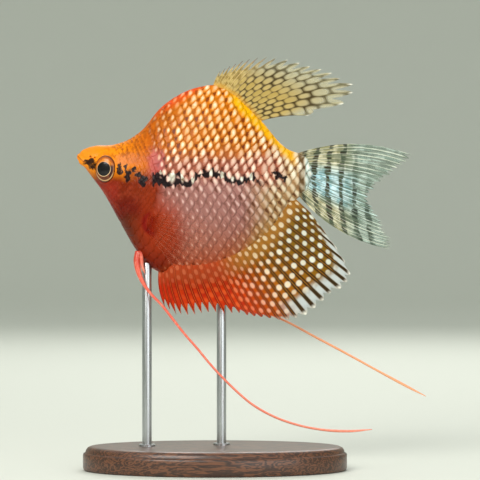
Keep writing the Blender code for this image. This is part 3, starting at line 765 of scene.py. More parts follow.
# %% [markdown]
# ## The skin's finish
# Wet fish skin is glossy over a soft, slightly clear layer. The Principled shader gives both: subsurface
# light for the flesh and a coat for the mucus. Its bare places, the snout, brow and cheek, have fine
# brown freckles, paler flecks and pores, which noise makes well.

# %% Skin material
def make_skin_material():
    material, tree, sockets = new_material("wet_skin", Roughness=0.42, Coat_Weight=0.08,
                                           Coat_Roughness=0.12, Specular_IOR_Level=0.08,
                                           Subsurface_Weight=0.06, Subsurface_Scale=0.0008)
    place = place_in_mm(tree)
    x, _, z = split(place)
    colour = use_group(tree, flank_colours, {"Place": place})["Ground"]
    colour = mix(fade(noise(place, 2.6, 3.0), 0.56, 0.72) * 0.2, colour, "7A3004")
    colour = mix(fade(noise(place, 0.8, 4.0), 0.5, 0.8) * fade(z, 73, 76) * 0.22, colour, "FFA22E")
    # painted shade: the insides of the nostrils and the line between the lips are darker
    for cx, cz, radius in NOSTRILS:
        colour = mix(around(x, z, (cx, cz), (radius, radius), 0.6) * 0.8, colour, "6A2C06")
    from_lips = abs(above_slant(x, z, -0.95, 45.9))
    colour = mix(fade(from_lips, 0.3, 0.05) * fade(x, -32, -32.6) * 0.6, colour, "8E4408")
    colour.to(sockets["Base Color"])
    raised(noise(place, 5.5, 3.0), 0.00005).to(sockets["Normal"])
    return material


settle(make_skin(make_skin_material()), "fish_skin", "head", "trunk", "tail_stalk")

# %% [markdown]
# ## A ruler around the body
# Scales overlap like roof tiles: each is rooted towards the head and its free edge points to the tail.
# Rows run along the body, and every second row is shifted by half a scale. To keep the scales the same
# size all over, the rows are spaced by the length around the body and not by height. A table turns that
# length back into the angle that the surface formula needs.

# %% The ruler
ROW_AXIS = smooth([(-34.4, 76.0), (-24.0, 75.4), (-10.0, 74.2), (10.0, 73.6), (25.0, 74.2)])
RULER_X = np.linspace(SNOUT_X, SKIN_END, 420)
RULER_ANGLE = np.radians(np.linspace(-150, 150, 901))
GIRTH = np.linspace(-46, 46, 369)


def make_ruler():
    """For each station, the angle at each length around the body from the row axis."""
    rings = surface(RULER_X[:, None], RULER_ANGLE[None])
    lengths = np.cumsum(np.linalg.norm(np.diff(rings, axis=1, prepend=rings[:, :1]), axis=2), axis=1)
    left = np.abs(RULER_ANGLE) <= math.pi / 2
    table = np.empty((len(RULER_X), len(GIRTH)))
    for i, station in enumerate(RULER_X):
        start = np.interp(ROW_AXIS(station), rings[i, left, 2], RULER_ANGLE[left])
        table[i] = np.interp(GIRTH, lengths[i] - np.interp(start, RULER_ANGLE, lengths[i]), RULER_ANGLE)
    return table


ruler = make_ruler()


def angle_at(x, girth):
    """The angle at a station and a length around the body."""
    i = np.clip((x - RULER_X[0]) / (RULER_X[1] - RULER_X[0]), 0, len(RULER_X) - 1.001)
    j = np.clip((girth - GIRTH[0]) / (GIRTH[1] - GIRTH[0]), 0, len(GIRTH) - 1.001)
    i0, j0 = i.astype(int), j.astype(int)
    s, t = i - i0, j - j0
    near = ruler[i0, j0] * (1 - t) + ruler[i0, j0 + 1] * t
    far = ruler[i0 + 1, j0] * (1 - t) + ruler[i0 + 1, j0 + 1] * t
    return near * (1 - s) + far * s


print("half the girth at mid body:", round(float(np.interp(math.pi / 2, ruler[200], GIRTH)), 1), "mm up")

# %% [markdown]
# ## Where the scales grow
# The trunk has large scales and the cheek small ones. Their roots are laid out in rows and kept where
# scales grow: behind the gill opening, or in front of it and clear of the eye.

# %% Lay out the scales
COLUMN, ROW = 2.3, 1.8  # spacing along the body and around it
CHEEK_COLUMN, CHEEK_ROW = 1.25, 0.85
DRIFT = 0.3  # above the row axis each row starts this much further back, as a share of its height
JITTER = 0.07


def lay_out(first_x, last_x, column, row, wanted):
    """Roots of the scales: station and length around the body, in staggered rows, where wanted says so."""
    found = []
    for k in range(-40, 41):
        for x in np.arange(first_x + (k % 2) * column / 2, last_x, column):
            size = 1 - 0.06 * ease(x, 4.0, 21.0)
            found.append((x + DRIFT * max(k * row, 0), k * row * size, size))
    luck = rng.uniform(-JITTER, JITTER, (len(found), 3))
    x, girth, size = (np.array(found) + luck * (column, row, 0.4)).T
    angle = angle_at(x + column, girth)
    keep = (np.abs(angle) < math.radians(88.5)) & wanted(surface(x + column, angle))
    return x[keep], girth[keep], size[keep]


def on_trunk(points):
    return (distance_to(gill_line, points[:, ::2]) > -0.35) | (points[:, 0] > -13) | (points[:, 2] > 88)


def on_cheek(points):
    x, _, z = points.T
    ahead = (distance_to(gill_line, points[:, ::2]) < -0.55) & (x < -12) & (z < 88)
    from_eye = np.hypot(x - EYE[0], z - EYE[1])
    return ahead & (x > -27.5 + 0.3 * np.maximum(z - 75, 0)) & (from_eye > 4.6)


trunk_roots = lay_out(-34.0, 22.0, COLUMN, ROW, on_trunk)
cheek_roots = lay_out(-29.0, -13.0, CHEEK_COLUMN, CHEEK_ROW, on_cheek)
print("scales on each side:", len(trunk_roots[0]), "on the trunk,", len(cheek_roots[0]), "on the cheek")

# %% [markdown]
# ## The shape of a scale
# A scale is a small grid, bent to the body by the same formula. It starts under the skin, rises to its
# free edge and has a thickness, so that it catches light and throws a thin shadow. Three UV maps go with
# it: its own coordinates, which place the pearl, two random numbers, and a tiny patch on an unwrap
# of the skin, which tools that bake colours can use.

# %% Make the scales
PLATE_ROWS, PLATE_COLUMNS = 6, 8
PLATE_THICK = 0.04
ROOT_BELOW = 0.06  # the root lies this deep under the skin
BAKE_PATCH = 0.003


def make_scales(name, roots, length, width, lift, side, material):
    """All the plates of one flank as one mesh. side is -1 for the left flank and 1 for the right."""
    x0, girth0, size = (part[:, None, None] for part in roots)
    count = len(x0)
    along = np.linspace(0, 1, PLATE_ROWS + 1)[None, :, None]
    across = np.linspace(-1, 1, PLATE_COLUMNS + 1)[None, None, :]
    luck = rng.random((count, 3))
    longer = (0.96 + 0.08 * luck[:, 2])[:, None, None]
    rounded = 0.56 + 0.44 * np.sqrt(1 - (0.95 * across) ** 2)
    girth = girth0 + across * width / 2 * size * (0.86 + 0.14 * np.sin(math.pi * along))
    x, girth = np.broadcast_arrays(x0 + length * size * longer * along * rounded, girth)
    angle = angle_at(x, girth)
    base, normal = surface(x, angle), outward(x, angle)
    # scales lie flatter in the middle of the belly and towards the head
    quiet = np.maximum(bump(np.hypot((x + 5) / 14, (base[..., 2] - 60) / 9), 1), 1 - ease(x, -16, -8))
    rise = -COAT - ROOT_BELOW + (lift - np.maximum(lift - 0.13, 0) * quiet) * along**1.15
    rise = rise - 0.035 * across**2 + 0.008 * luck[:, 1][:, None, None] - 0.03 * (along == 1)
    top = base + normal * rise[..., None]
    points = np.stack([top, top - normal * PLATE_THICK], 1).reshape(-1, 3)
    rows, columns = PLATE_ROWS + 1, PLATE_COLUMNS + 1
    each = 2 * rows * columns
    faces = (sheet_faces(rows, columns)[None] + np.arange(count)[:, None, None] * each).reshape(-1, 4)
    if side > 0:
        points = points * (1, -1, 1)
        faces = faces[:, ::-1]
    own = np.stack(np.broadcast_arrays(across / 2 + 0.5, along), -1)
    own = np.broadcast_to(own, (count, rows, columns, 2))
    own = np.stack([own, own], 1).reshape(-1, 2)
    share = ((x0 - SNOUT_X) / (SKIN_END - SNOUT_X)).clip(0, 1) ** (1 / CROWDING)
    turn = angle_at(x0, girth0) / (2 * math.pi)
    turn = turn % 1 if side < 0 else (0.5 - turn) % 1
    home = np.stack([share[:, 0, 0], turn[:, 0, 0]], -1)
    bake = np.repeat(home, each, axis=0) * 0.99 + 0.005 + (own - 0.5) * BAKE_PATCH
    maps = {"plate": own, "variety": np.repeat(luck[:, :2], each, axis=0), "OFBake": bake}
    return new_piece(name, points, faces, material, maps)


print("triangles of a scale:", 2 * len(sheet_faces(PLATE_ROWS + 1, PLATE_COLUMNS + 1)))

# %% [markdown]
# ## The pearl on each scale
# What gives the fish its name is a pale upright oval on every scale, set in a darker ground. The oval is
# drawn in the scale's own coordinates: a distance from its middle, divided by its two radii. Above the
# stripe its top leans back and below it forward, so the lean follows the height on the body. Dark edges
# and a stroke of painted shade in front of the pearl, where the edge of the scale in front lies, set it
# off, and flecks take its place on the brow.

# %% Scale material
PEARL_AT = 0.79  # middle of the pearl, as a share of the scale's length
PEARL_LONG, PEARL_WIDE = 0.16, 0.64


def make_scale_material(name, pearl_size, gloss, net):
    material, tree, sockets = new_material(name, Roughness=0.4, Coat_Weight=gloss, Coat_Roughness=0.1,
                                           Specular_IOR_Level=0.08, Subsurface_Weight=0.04,
                                           Subsurface_Scale=0.0005)
    place = place_in_mm(tree)
    x, _, z = split(place)
    inks = use_group(tree, flank_colours, {"Place": place})
    u, v, _ = split(node(tree, "UVMap", uv_map="plate"))
    luck, shade, _ = split(node(tree, "UVMap", uv_map="variety"))
    across = u * 2 - 1
    high = fade(z, 70, 77)
    plain = around(x, z, (-5, 61), (13, 9), 0.7)  # the middle of the belly, which has small dots
    # the oval: 0 in its middle and 1 at its edge
    lean = high * 0.19 - 0.11 - fade(x, -8, 6) * (1 - high) * 0.15
    grow = (luck * 0.4 + 0.76) * (fade(z, 60, 72) * 0.3 + 0.7) * (fade(x, -17, -4) * 0.42 + 0.58)
    grow = grow * (1 - plain * 0.4) * pearl_size
    bigger = high * 0.06 + 1 + fade(x, 7, 18) * 0.25
    behind = (v - PEARL_AT - across * lean) / (bigger * PEARL_LONG)
    aside = across / (bigger * PEARL_WIDE)
    oval = (behind * behind + aside * aside).math("SQRT") / grow + noise(place, 2.2) * 0.7 - 0.35
    pearl = fade(oval, 1.3, 0.5) * inks["Pearled"] * (1 - inks["Hidden"]) * (shade * 0.4 + 0.6)
    core = fade(oval, 0.95, 0) * (shade * 0.5 + 0.5) * (fade(z, 66, 76) * 0.6 + 0.25)
    # the scale's dark edges, broken by noise
    edge = (fade(v, 0.88, 1) * 0.4).math("MAXIMUM", fade(abs(across), 0.55, 0.85))
    gaps = (fade(noise(place, 0.9, 1.0), 0.4, 0.6) * 0.55 + 0.1) * (inks["Pearled"] * 0.85 + 0.15)
    edge = edge * gaps * (1 - plain * 0.75) * fade(x, 22.5, 19) * (0.38 - high * 0.08)
    # painted shade: a dark stroke runs down the front of the pearl, where the edge of the scale in front
    # shades it
    shade_stroke = fade(behind, -0.75, -1.15) * fade(behind, -2.6, -1.9) * fade(abs(across), 0.75, 0.3)
    shade_stroke = shade_stroke * fade(shade, 0.1, 0.6) * inks["Pearled"] * (1 - plain * 0.6)
    edge = edge.math("MAXIMUM", shade_stroke * 0.9) * net
    # on the brow and nape each scale has a brown fleck near its free edge
    fleck = fade(v, 0.6, 0.8) * fade(abs(across), 0.75, 0.3) * fade(z, 76.5, 80.5) * fade(x, -8, -14)
    edge = edge.math("MAXIMUM", fleck * fade(noise(place, 0.9), 0.38, 0.56) * 0.42)
    dark = node(tree, "Mix", {0: 1.0, 6: inks["Ground"], 7: (0.26, 0.13, 0.05, 1)}, 2, data_type="RGBA",
                blend_type="MULTIPLY")
    ground = mix(edge, inks["Ground"], dark)
    mix(pearl, ground, mix(core, inks["Pearl"], "FFF3E0")).to(sockets["Base Color"])
    growth_rings = ((across * across + v * 3) * 14).math("SINE")
    raised(growth_rings, 0.000008).to(sockets["Normal"])
    return material


trunk_finish = make_scale_material("pearled_scales", pearl_size=1.0, gloss=0.1, net=1.0)
cheek_finish = make_scale_material("cheek_scales", pearl_size=0.7, gloss=0.08, net=0.2)
for side, label in BOTH_SIDES:
    trunk = make_scales(f"trunk_scales_{label}", trunk_roots, 3.9, 3.9, 0.165, side, trunk_finish)
    settle(trunk, "fish_skin")
    cheek = make_scales(f"cheek_scales_{label}", cheek_roots, 2.1, 1.85, 0.12, side, cheek_finish)
    settle(cheek, "fish_skin")

# %% [markdown]
# ## Eyes
# A fish's eye hardly bulges: it is a low dome in an oval opening. Each is one smooth dome. The pupil,
# the thin gold ring round it and the iris are painted by distance from the pupil's centre, on a UV map
# that counts millimetres in the eye's own plane. A clear coat gives the wet gloss.

# %% Eyes
EYE_RINGS, EYE_SECTORS = 24, 64
PUPIL = 1.72  # radius


def make_eye(name, side, material):
    centre, facing, forward, up = eye_frame(side)
    share = np.linspace(0.02, 1, EYE_RINGS)[:, None]
    turn = turns(EYE_SECTORS)[None]
    a, b = EYE_RADIUS * share * np.cos(turn), EYE_RADIUS * EYE_TALL * share * np.sin(turn)
    height = EYE_DEPTH * (1 - 0.98 * share**2) ** 0.42 + 0 * turn
    points = centre + a[..., None] * forward + b[..., None] * up + height[..., None] * facing
    points = np.concatenate([points.reshape(-1, 3), [centre + facing * EYE_DEPTH, centre - facing * 0.3]])
    faces = grid_faces(EYE_RINGS, EYE_SECTORS, closed=True).tolist()
    faces += end_fans(EYE_RINGS * EYE_SECTORS, EYE_SECTORS)
    if np.dot(np.cross(forward, up), facing) > 0:
        faces = [face[::-1] for face in faces]
    iris = np.concatenate([np.stack([a, b], -1).reshape(-1, 2), [(0, 0), (0, 0)]])
    return new_piece(name, points, faces, material, {"iris": iris})


def make_eye_material():
    material, tree, sockets = new_material("eye", Roughness=0.3, Coat_Weight=0.4, Coat_Roughness=0.03,
                                           Specular_IOR_Level=0.2)
    a, b, _ = split(node(tree, "UVMap", uv_map="iris"))
    away = node(tree, "VectorMath", {0: joined(a - 0.12, b * 0.97)}, 1, operation="LENGTH")
    share = node(tree, "VectorMath", {0: joined(a, b / EYE_TALL)}, 1, operation="LENGTH") / EYE_OPENING
    streaks = fade(noise(place_in_mm(tree), 3.0, 3.0), 0.45, 0.7)
    iris = mix(fade(b, -0.6, 1.2), "6E3212", "DC7C12")
    iris = mix(streaks * 0.5, iris, "8A4A1A")
    iris = mix(fade(a, -1, -1.5) * fade(b, 1.5, 0.4), iris, "3A100A")
    iris = mix(fade(b, -1.3, -1.6) * fade(abs(a), 1.2, 0.7) * 0.6, iris, "4A200C")
    # a pale rim below, the shadow of the eye's edge above, and brown where the skin begins
    rim = fade(share, 0.86, 0.9) * fade(share, 0.98, 0.94) * (fade(b, 1, -1.5) * 0.4 + 0.35)
    iris = mix(rim, iris, mix(fade(b, -0.4, -2), "B87020", "E0B47C"))
    iris = mix(fade(share, 0.74, 0.92) * fade(b, 0.6, 1.8) * 0.7, iris, "8A3C1C")
    iris = mix(fade(share, 0.95, 1), iris, "5E2A0C")
    ring = fade(away, PUPIL - 0.04, PUPIL + 0.02) * fade(away, PUPIL + 0.18, PUPIL + 0.08)
    iris = mix(ring * (fade(b, 1.2, -0.8) * 0.6 + 0.3), iris, "ECC898")
    mix(fade(away, PUPIL + 0.04, PUPIL - 0.04), iris, "050305").to(sockets["Base Color"])
    return material


eye_finish = make_eye_material()
for side, label in BOTH_SIDES:
    settle(make_eye(f"eyeball_{label}", side, eye_finish), "eyes", f"eye_{label}")

# %% [markdown]
# ## Fins
# A fin is a thin skin stretched over bony rays. Spines end in free points, and soft rays split into
# branches. All fins use one function: a grid of fine columns from the first ray to the last, thicker
# where a ray runs, and cut back between the rays' tips. Only the lines of roots and tips differ.

# %% One function for all fins
COLUMNS_PER_RAY = 12


def ray_ridges(off, along, branches):
    """How high a ray stands, by the distance to its middle in ray spacings. It splits twice."""
    first = 0.24 * ease(along, 0.4, 0.75) * branches
    second = 0.1 * ease(along, 0.72, 0.95) * branches
    width = 0.11 - 0.05 * along * branches
    return np.maximum.reduce([bump(off - s * first - t * second, width) for s in (-1, 1) for t in (-1, 1)])


def make_fin(name, ray, rays, stations, notch, thick, flesh, material, spiny_until=0.0, crowd=0.0):
    """ray(share, along) gives points of the fin.

    notch is how far the skin is cut back between spines and between soft rays, as a share of their length.
    thick is a ray's thickness at its root and its tip, and the skin's.
    flesh is how much thicker the root is, as a function of share, and how far that reaches.
    crowd moves rays from the front of the fin to its rear.
    """
    columns = (rays - 1) * COLUMNS_PER_RAY + 1
    share = np.linspace(0, 1, columns)[None, :]
    number = (share + crowd * share * (share - 1)) * (rays - 1)
    off, past = number - np.round(number), number - np.floor(number)
    spiny = 1 - ease(share, spiny_until, spiny_until + 0.2) if spiny_until else np.zeros_like(share)
    cut_spiny = notch[0] * np.minimum(1.3 * past, 1) ** 0.8 * (1 - bump(1 - past, 0.1))
    cut_soft = notch[1] * np.abs(2 * off) ** 1.6
    luck = rng.uniform(-1, 1, rays)[np.round(number).astype(int)]
    reach = (1 - spiny * cut_spiny - (1 - spiny) * cut_soft) * (0.985 + 0.015 * luck)
    along = np.linspace(0, 1, stations)[:, None] ** 0.9 * reach
    points = ray(np.broadcast_to(share, along.shape), along)
    normal = np.cross(np.gradient(points, axis=0), np.gradient(points, axis=1))
    normal /= np.maximum(np.linalg.norm(normal, axis=-1, keepdims=True), 1e-9)
    root, tip, web = thick
    height = web + (root + (tip - root) * along - web) * ray_ridges(off, along, 1 - spiny)
    lengths = np.linalg.norm(np.diff(points, axis=0, prepend=points[:1]), axis=2).cumsum(axis=0)
    fleshy, flesh_reach = flesh
    ends = ease(share, 0.0, 0.14) * ease(share, 1.0, 0.96)
    height = height + fleshy(share) * ends * (1 - ease(lengths, 0.0, flesh_reach)) ** 1.5
    half = normal * height[..., None] / 2
    own = np.stack([share + 0 * along, along], -1).reshape(-1, 2)
    cells = np.stack([number + 0 * along, lengths], -1).reshape(-1, 2)
    maps = {"fin": np.concatenate([own, own]), "cells": np.concatenate([cells, cells])}
    sheets = np.stack([points + half, points - half]).reshape(-1, 3)
    return new_piece(name, sheets, sheet_faces(stations, columns), material, maps)


print("grid columns of a fin with 20 rays:", 19 * COLUMNS_PER_RAY + 1)

# %% [markdown]
# ## The fins' outlines
# A fin in the middle plane is drawn between a line of roots inside the body and a line of tips. Its rays
# bow a little between the two, and the free edge waves to one side, as a fin does in water.

# %% Lines of roots and tips
# share of the way from first ray to last, place of the root, X of the tip, Z of the tip
DORSAL = [(0.0, -0.6, 1.4, 99.9), (0.15, 1.2, 4.9, 101.5), (0.3, 3.0, 9.6, 103.0), (0.45, 4.9, 15.8, 103.2),
          (0.6, 6.8, 23.6, 101.2), (0.75, 8.7, 30.6, 98.7), (0.88, 10.2, 34.9, 94.7),
          (0.95, 11.0, 31.4, 91.2), (1.0, 11.6, 23.0, 88.5)]
ANAL = [(0.0, -15.2, -12.3, 40.3), (0.09, -12.0, -8.6, 38.5), (0.2, -7.5, -3.2, 39.0), (0.36, 0.0, 5.8, 38.9),
        (0.5, 5.0, 13.5, 37.7), (0.62, 9.5, 21.2, 37.9), (0.74, 13.2, 28.8, 43.3), (0.87, 17.2, 33.9, 49.8),
        (0.92, 18.6, 31.0, 54.7), (0.965, 19.6, 27.9, 59.1), (1.0, 20.3, 24.2, 64.0)]
CAUDAL = [(0.0, 79.3, 49.2, 78.7), (0.1, 78.3, 47.6, 76.6), (0.25, 76.7, 43.4, 73.6), (0.4, 75.1, 39.8, 70.3),
          (0.5, 74.0, 38.5, 67.6), (0.6, 72.9, 40.2, 64.6), (0.75, 71.2, 42.6, 60.3), (0.9, 69.6, 44.3, 56.8),
          (1.0, 68.5, 43.9, 55.2)]
ROOT_SUNK, ANAL_SUNK = 0.7, 3.0  # fins start this deep in the flesh


def inside_profile(profile, x, outwards, sunk):
    """Points inside the back (outwards 1) or the belly (-1)."""
    slant = (profile(x + 0.3) - profile(x - 0.3)) / 0.6
    square = np.stack([-slant, 0 * x, 1 + 0 * x], -1) / np.hypot(slant, 1)[..., None]
    return np.stack([x, 0 * x, profile(x)], -1) - square * outwards * sunk


def ray_between(outline, root_at, bend_at, wave):
    """A ray function from roots to tips. wave is how far the free edge waves, how fast, and from where."""
    places, tip_x, tip_z = (smooth([(row[0], row[i]) for row in outline]) for i in (1, 2, 3))
    reach, pace, start = wave

    def ray(share, along):
        root = root_at(places(share))
        chord = np.stack([tip_x(share), 0 * share, tip_z(share)], -1) - root
        aside = np.stack([-chord[..., 2], 0 * share, chord[..., 0]], -1)
        bow = bend_at(share) * 4 * along * (1 - along)
        point = root + chord * along[..., None] + aside * bow[..., None]
        point[..., 1] += reach * np.sin(pace * share + start) * along**2
        return point

    return ray


dorsal_ray = ray_between(DORSAL, lambda x: inside_profile(back, x, 1, ROOT_SUNK),
                         lambda share: 0.05 + 0 * share, (0.7, 4.5, 0.6))
anal_ray = ray_between(ANAL, lambda x: inside_profile(belly, x, -1, ANAL_SUNK),
                       lambda share: -0.1 * (1 - share) ** 3, (0.55, 9.0, 2.2))
anal_root_x = smooth([row[:2] for row in ANAL])
caudal_ray = ray_between(CAUDAL, lambda z: np.stack([0 * z + STALK_X - 0.4, 0 * z, z], -1),
                         lambda share: 0.09 * (1 - 2 * share), (1.3, 2.2, -0.4))
print("the tail fin reaches X =", max(row[2] for row in CAUDAL))

# %% [markdown]
# ## Cells between the rays
# The pale spots of a pearl gourami's fins sit in the skin between two rays, and neighbours are
# staggered. One node group draws them for every fin: it counts rays one way and spots the other, and
# takes the distance to the middle of the spot it is in. Each spot draws a number from its two counts, so
# that sizes vary and stay the same in every render.

# %% Spot group
def make_fin_spots():
    inputs = dict.fromkeys(("Ray", "Row", "Wide", "Long", "Power"), "Float")
    tree, entry, leave = new_group("fin_spots", inputs, dict.fromkeys(("Spot", "Rays", "Luck"), "Float"))
    count = entry["Ray"].math("FLOOR")
    across = entry["Ray"] - count - 0.5
    start = node(tree, "TexWhiteNoise", {"W": count}, noise_dimensions="1D")
    row = entry["Row"] + count.math("MODULO", 2) * 0.5 + start * 0.22
    row_count = row.math("FLOOR")
    up = row - row_count - 0.5
    luck = node(tree, "TexWhiteNoise", {"Vector": joined(count, row_count)}, noise_dimensions="2D")
    power = entry["Power"]
    away = (abs(across / entry["Wide"]) ** power + abs(up / entry["Long"]) ** power) ** (1 / power)
    fade(away + luck * 0.36 - 0.18, 1.25, 0.65).to(leave["Spot"])
    fade(abs(across), 0.33, 0.47).to(leave["Rays"])
    luck.to(leave["Luck"])
    return tree


fin_spots = make_fin_spots()


def fin_places(tree):
    """Share and along of a fin, ray number, distance from its root in millimetres, and the place."""
    share, along, _ = split(node(tree, "UVMap", uv_map="fin"))
    ray, length, _ = split(node(tree, "UVMap", uv_map="cells"))
    place = place_in_mm(tree)
    x, _, z = split(place)
    return SimpleNamespace(share=share, along=along, ray=ray, length=length, place=place, x=x, z=z)


def spotted_by(at, row, wide, long, power=2.0):
    """The spot group on a fin. row counts spots along a ray."""
    inputs = {"Ray": at.ray, "Row": row, "Wide": wide, "Long": long, "Power": power}
    return use_group(at.ray.tree, fin_spots, inputs)


print("fin_spots:", len(fin_spots.nodes), "nodes")

# %% [markdown]
# ## Dorsal fin
# Its spines in front carry a blotched straw-coloured skin. Behind them the spots are so large that they
# meet as pale cells in a dark net, and grow towards the edge. An exponential makes that growth even. The
# fin's alpha lets a little of the background through between the rays.

# %% Dorsal fin
def growing_rows(length, first, stretch):
    """Counts spots along a ray. They are 1 / first long at the root and grow further out."""
    return (1 - math.e ** (length / -stretch)) * (first * stretch)


def make_dorsal_material():
    material, tree, sockets = new_material("dorsal_membrane", Roughness=0.45, Coat_Weight=0.06,
                                           Coat_Roughness=0.15, Specular_IOR_Level=0.2)
    at = fin_places(tree)
    spots = spotted_by(at, growing_rows(at.length, 0.46, 24.0), 0.46, 0.45, 2.6)
    net = mix(fade(at.along, 0.55, 0.95), "44340C", "726C50")
    pale = mix(fade(at.along, 0.3, 0.8), "B09650", "C2BC98")
    pale = mix(spots["Luck"] * 0.4, pale, "CDB780")
    mottle = noise(at.place, 0.9)
    front = mix(fade(mottle, 0.4, 0.62), "8E7638", "BFA766")
    front = mix(spots["Rays"] * 0.8, front, "E0C07C")
    front = mix(fade(spots["Rays"], 0.1, 0.45) * fade(spots["Rays"], 0.95, 0.5) * 0.7, front, "5E4716")
    soft = fade(at.share, 0.3, 0.5)
    colour = mix(soft, front, mix(spots["Spot"], net, pale))
    colour = mix(fade(at.length + mottle * 1.2, 2.3, 1) * 0.7, colour, "D29A30")
    colour = mix(fade(at.along, 0.72, 0.96) * (1 - soft), colour, "7A5A50")
    white_tips = fade(at.along, 0.93, 0.99) * soft * spots["Rays"]
    mix(white_tips, colour, "ECEBDD").to(sockets["Base Color"])
    solid = spots["Rays"].math("MAXIMUM", 0.75 - spots["Spot"])
    (0.96 - fade(at.along, 0.3, 0.85) * 0.6 * (1 - solid)).to(sockets["Alpha"])
    return material


dorsal = make_fin("dorsal_web", dorsal_ray, 19, 48, (0.44, 0.2), (0.42, 0.12, 0.13),
                  (lambda share: 0.9 + 0 * share, 2.0), make_dorsal_material(), spiny_until=0.36)
settle(dorsal, "dorsal_fin", "dorsal_fin")

# %% [markdown]
# ## Anal fin
# The long fin under the body is flame red in front, with faint spots, and turns golden brown with white
# spots to the rear. Each ray is a thin gold line between two dark ones. Along the rear margin the
# spots draw out into white cells. The distance to the margin is worked out from how far along the ray
# a point is and how many millimetres that makes.

# %% Anal fin
def paint_margin(at, off, margin, colour):
    """White cells between dark lines along the rear margin, and white tips."""
    uneven = noise(at.place, 0.6, 1.0) * 4 - 2
    cells = fade(off, 0.37, 0.22) * fade(margin, 0.3, 1.4) * fade(margin + uneven, 6.8, 3.8) * 0.85
    edge = mix(cells, mix(fade(off, 0.24, 0.4), "86683A", "34240A"), "C2CCCE")
    near_edge = fade(margin, 6.6, 4) * fade(at.share, 0.55, 0.66) * fade(at.share, 0.97, 0.93)
    colour = mix(near_edge, colour, edge)
    return mix(fade(at.along, 0.93, 0.99) * fade(at.share, 0.5, 0.66), colour, "F2EFE2")


def make_anal_material():
    material, tree, sockets = new_material("anal_membrane", Roughness=0.45, Coat_Weight=0.06,
                                           Coat_Roughness=0.15, Specular_IOR_Level=0.08)
    at = fin_places(tree)
    spots = spotted_by(at, at.length * 0.4, 0.31, 0.28)
    rear = fade(at.x + at.z * 0.7, 34, 50)
    off = abs(at.ray.math("FRACT") - 0.5)  # 0 between two rays and 0.5 on a ray
    margin = at.length * (1 / at.along - 1)
    red = mix(fade(noise(at.place, 0.5), 0.35, 0.65), "AC2200", "C43600")
    red = mix(fade(at.share, 0.16, 0.02) * 0.5, red, "B41E02")
    colour = mix(rear, red, mix(fade(at.share, 0.55, 0.85), "A45C06", "7A580E"))
    colour = mix(fade(off, 0.22, 0.34) * 0.95, colour, mix(rear, "801600", "2C1602"))
    colour = mix(fade(off, 0.455, 0.49) * 0.75, colour, mix(rear, "EC6A1A", "C8821E"))
    strong = (fade(at.share, 0.25, 0.5) * 0.6 + 0.4) * fade(at.share, 0.06, 0.2)
    strong = strong * (1 - spots["Luck"] * 0.35)
    dot = mix(rear, "D8602A", mix(fade(at.share, 0.6, 0.85), "E6D2B4", "DADDD0"))
    colour = mix(spots["Spot"] * strong, colour, dot)
    colour = paint_margin(at, off, margin, colour)
    # near its root the fin takes the belly's colours
    root = mix(fade(at.share, 0.35, 0.6), "AC4420", "A8702C")
    root = mix(spots["Spot"] * 0.7, root, mix(rear, "C8704C", "E4CBA0"))
    mix(fade(at.length, 6.8, 3) * 0.75, colour, root).to(sockets["Base Color"])
    (0.98 - fade(margin, 3, 0.3) * 0.4 * (1 - spots["Rays"])).to(sockets["Alpha"])
    return material


anal = make_fin("anal_web", anal_ray, 30, 60, (0.24, 0.06), (0.5, 0.14, 0.14),
                (lambda share: 0.82 * half_width(anal_root_x(share)), 10.0), make_anal_material(),
                spiny_until=0.26, crowd=-0.04)
settle(anal, "anal_fin", "anal_fin")

# %% [markdown]
# ## Tail fin
# The clear tail fin has dark upright bars that fade out on its upper lobe, a pale blue heart and fine
# light rays. A bar is the distance to the nearest of a row of evenly spaced lines, bowed and pushed
# about by noise. A second noise, stretched along the rays, breaks the bars and draws dark streaks.

# %% Tail fin
BARS_FROM, BARS_APART = 21.6, 3.38


def tail_bars(at, spots):
    """The mask of the bars."""
    mid = at.share - 0.5
    bowed = at.x - mid * mid * 5 + 0.3 + (noise(at.place, 0.6, 1.0) - 0.5) * 1.2
    near = abs(((bowed - BARS_FROM) / BARS_APART + 0.5).math("FRACT") - 0.5) + spots["Luck"] * 0.1 - 0.05
    upper = fade(at.share, 0.5, 0.3) * fade(at.x, 33, 37)
    broken = fade(noise(joined(at.ray, at.length * 0.3), 1.4, 1.0), 0.3, 0.5)
    return fade(near, 0.25, 0.12) * (1 - upper * 0.85) * fade(at.x, 43, 38) * broken


def make_caudal_material():
    material, tree, sockets = new_material("tail_membrane", Roughness=0.45, Coat_Weight=0.08,
                                           Coat_Roughness=0.15, Specular_IOR_Level=0.2)
    at = fin_places(tree)
    spots = spotted_by(at, 0.0, 0.4, 5.0)
    bar = tail_bars(at, spots)
    heart = fade(abs(at.share - 0.5), 0.28, 0.1) * fade(at.x, 22, 24)
    # painted glints: noise lays brighter patches over the fin's pale colours
    painted_glints = fade(noise(at.place, 0.55, 2.0, (1, 1, 0.6)), 0.42, 0.62)
    light = mix(heart, mix(painted_glints, "A09A72", "DED6B4"), mix(painted_glints, "8CBCC8", "D4F0F8"))
    light = mix(fade(at.x, 30, 37), light, mix(painted_glints, "7C9888", "B4C8BC"))
    colour = mix(bar, light, mix(fade(at.x, 27, 38), "2E1E08", "26362C"))
    streak = noise(joined(at.ray * 2.6, at.length * 0.16), 1.0)
    colour = mix(fade(streak, 0.42, 0.58) * 0.75, colour, "50604A")
    rays = spots["Rays"] * (0.85 - bar * 0.4) * fade(streak, 0.62, 0.4)
    colour = mix(rays, colour, mix(heart, "E2E2D0", "D8F0F2"))
    mix(fade(at.length, 1.6, 0.4) * 0.6, colour, "8A6C3C").to(sockets["Base Color"])
    clear = fade(at.x, 27, 40) * 0.55 * (1 - bar * 0.7) * (1 - rays * 0.8)
    (0.97 - clear).to(sockets["Alpha"])
    return material


caudal = make_fin("tail_web", caudal_ray, 26, 60, (0.06, 0.06), (0.5, 0.12, 0.13),
                  (lambda share: 1.2 + 0 * share, 4.0), make_caudal_material())
settle(caudal, "caudal_fin", "caudal_fin")

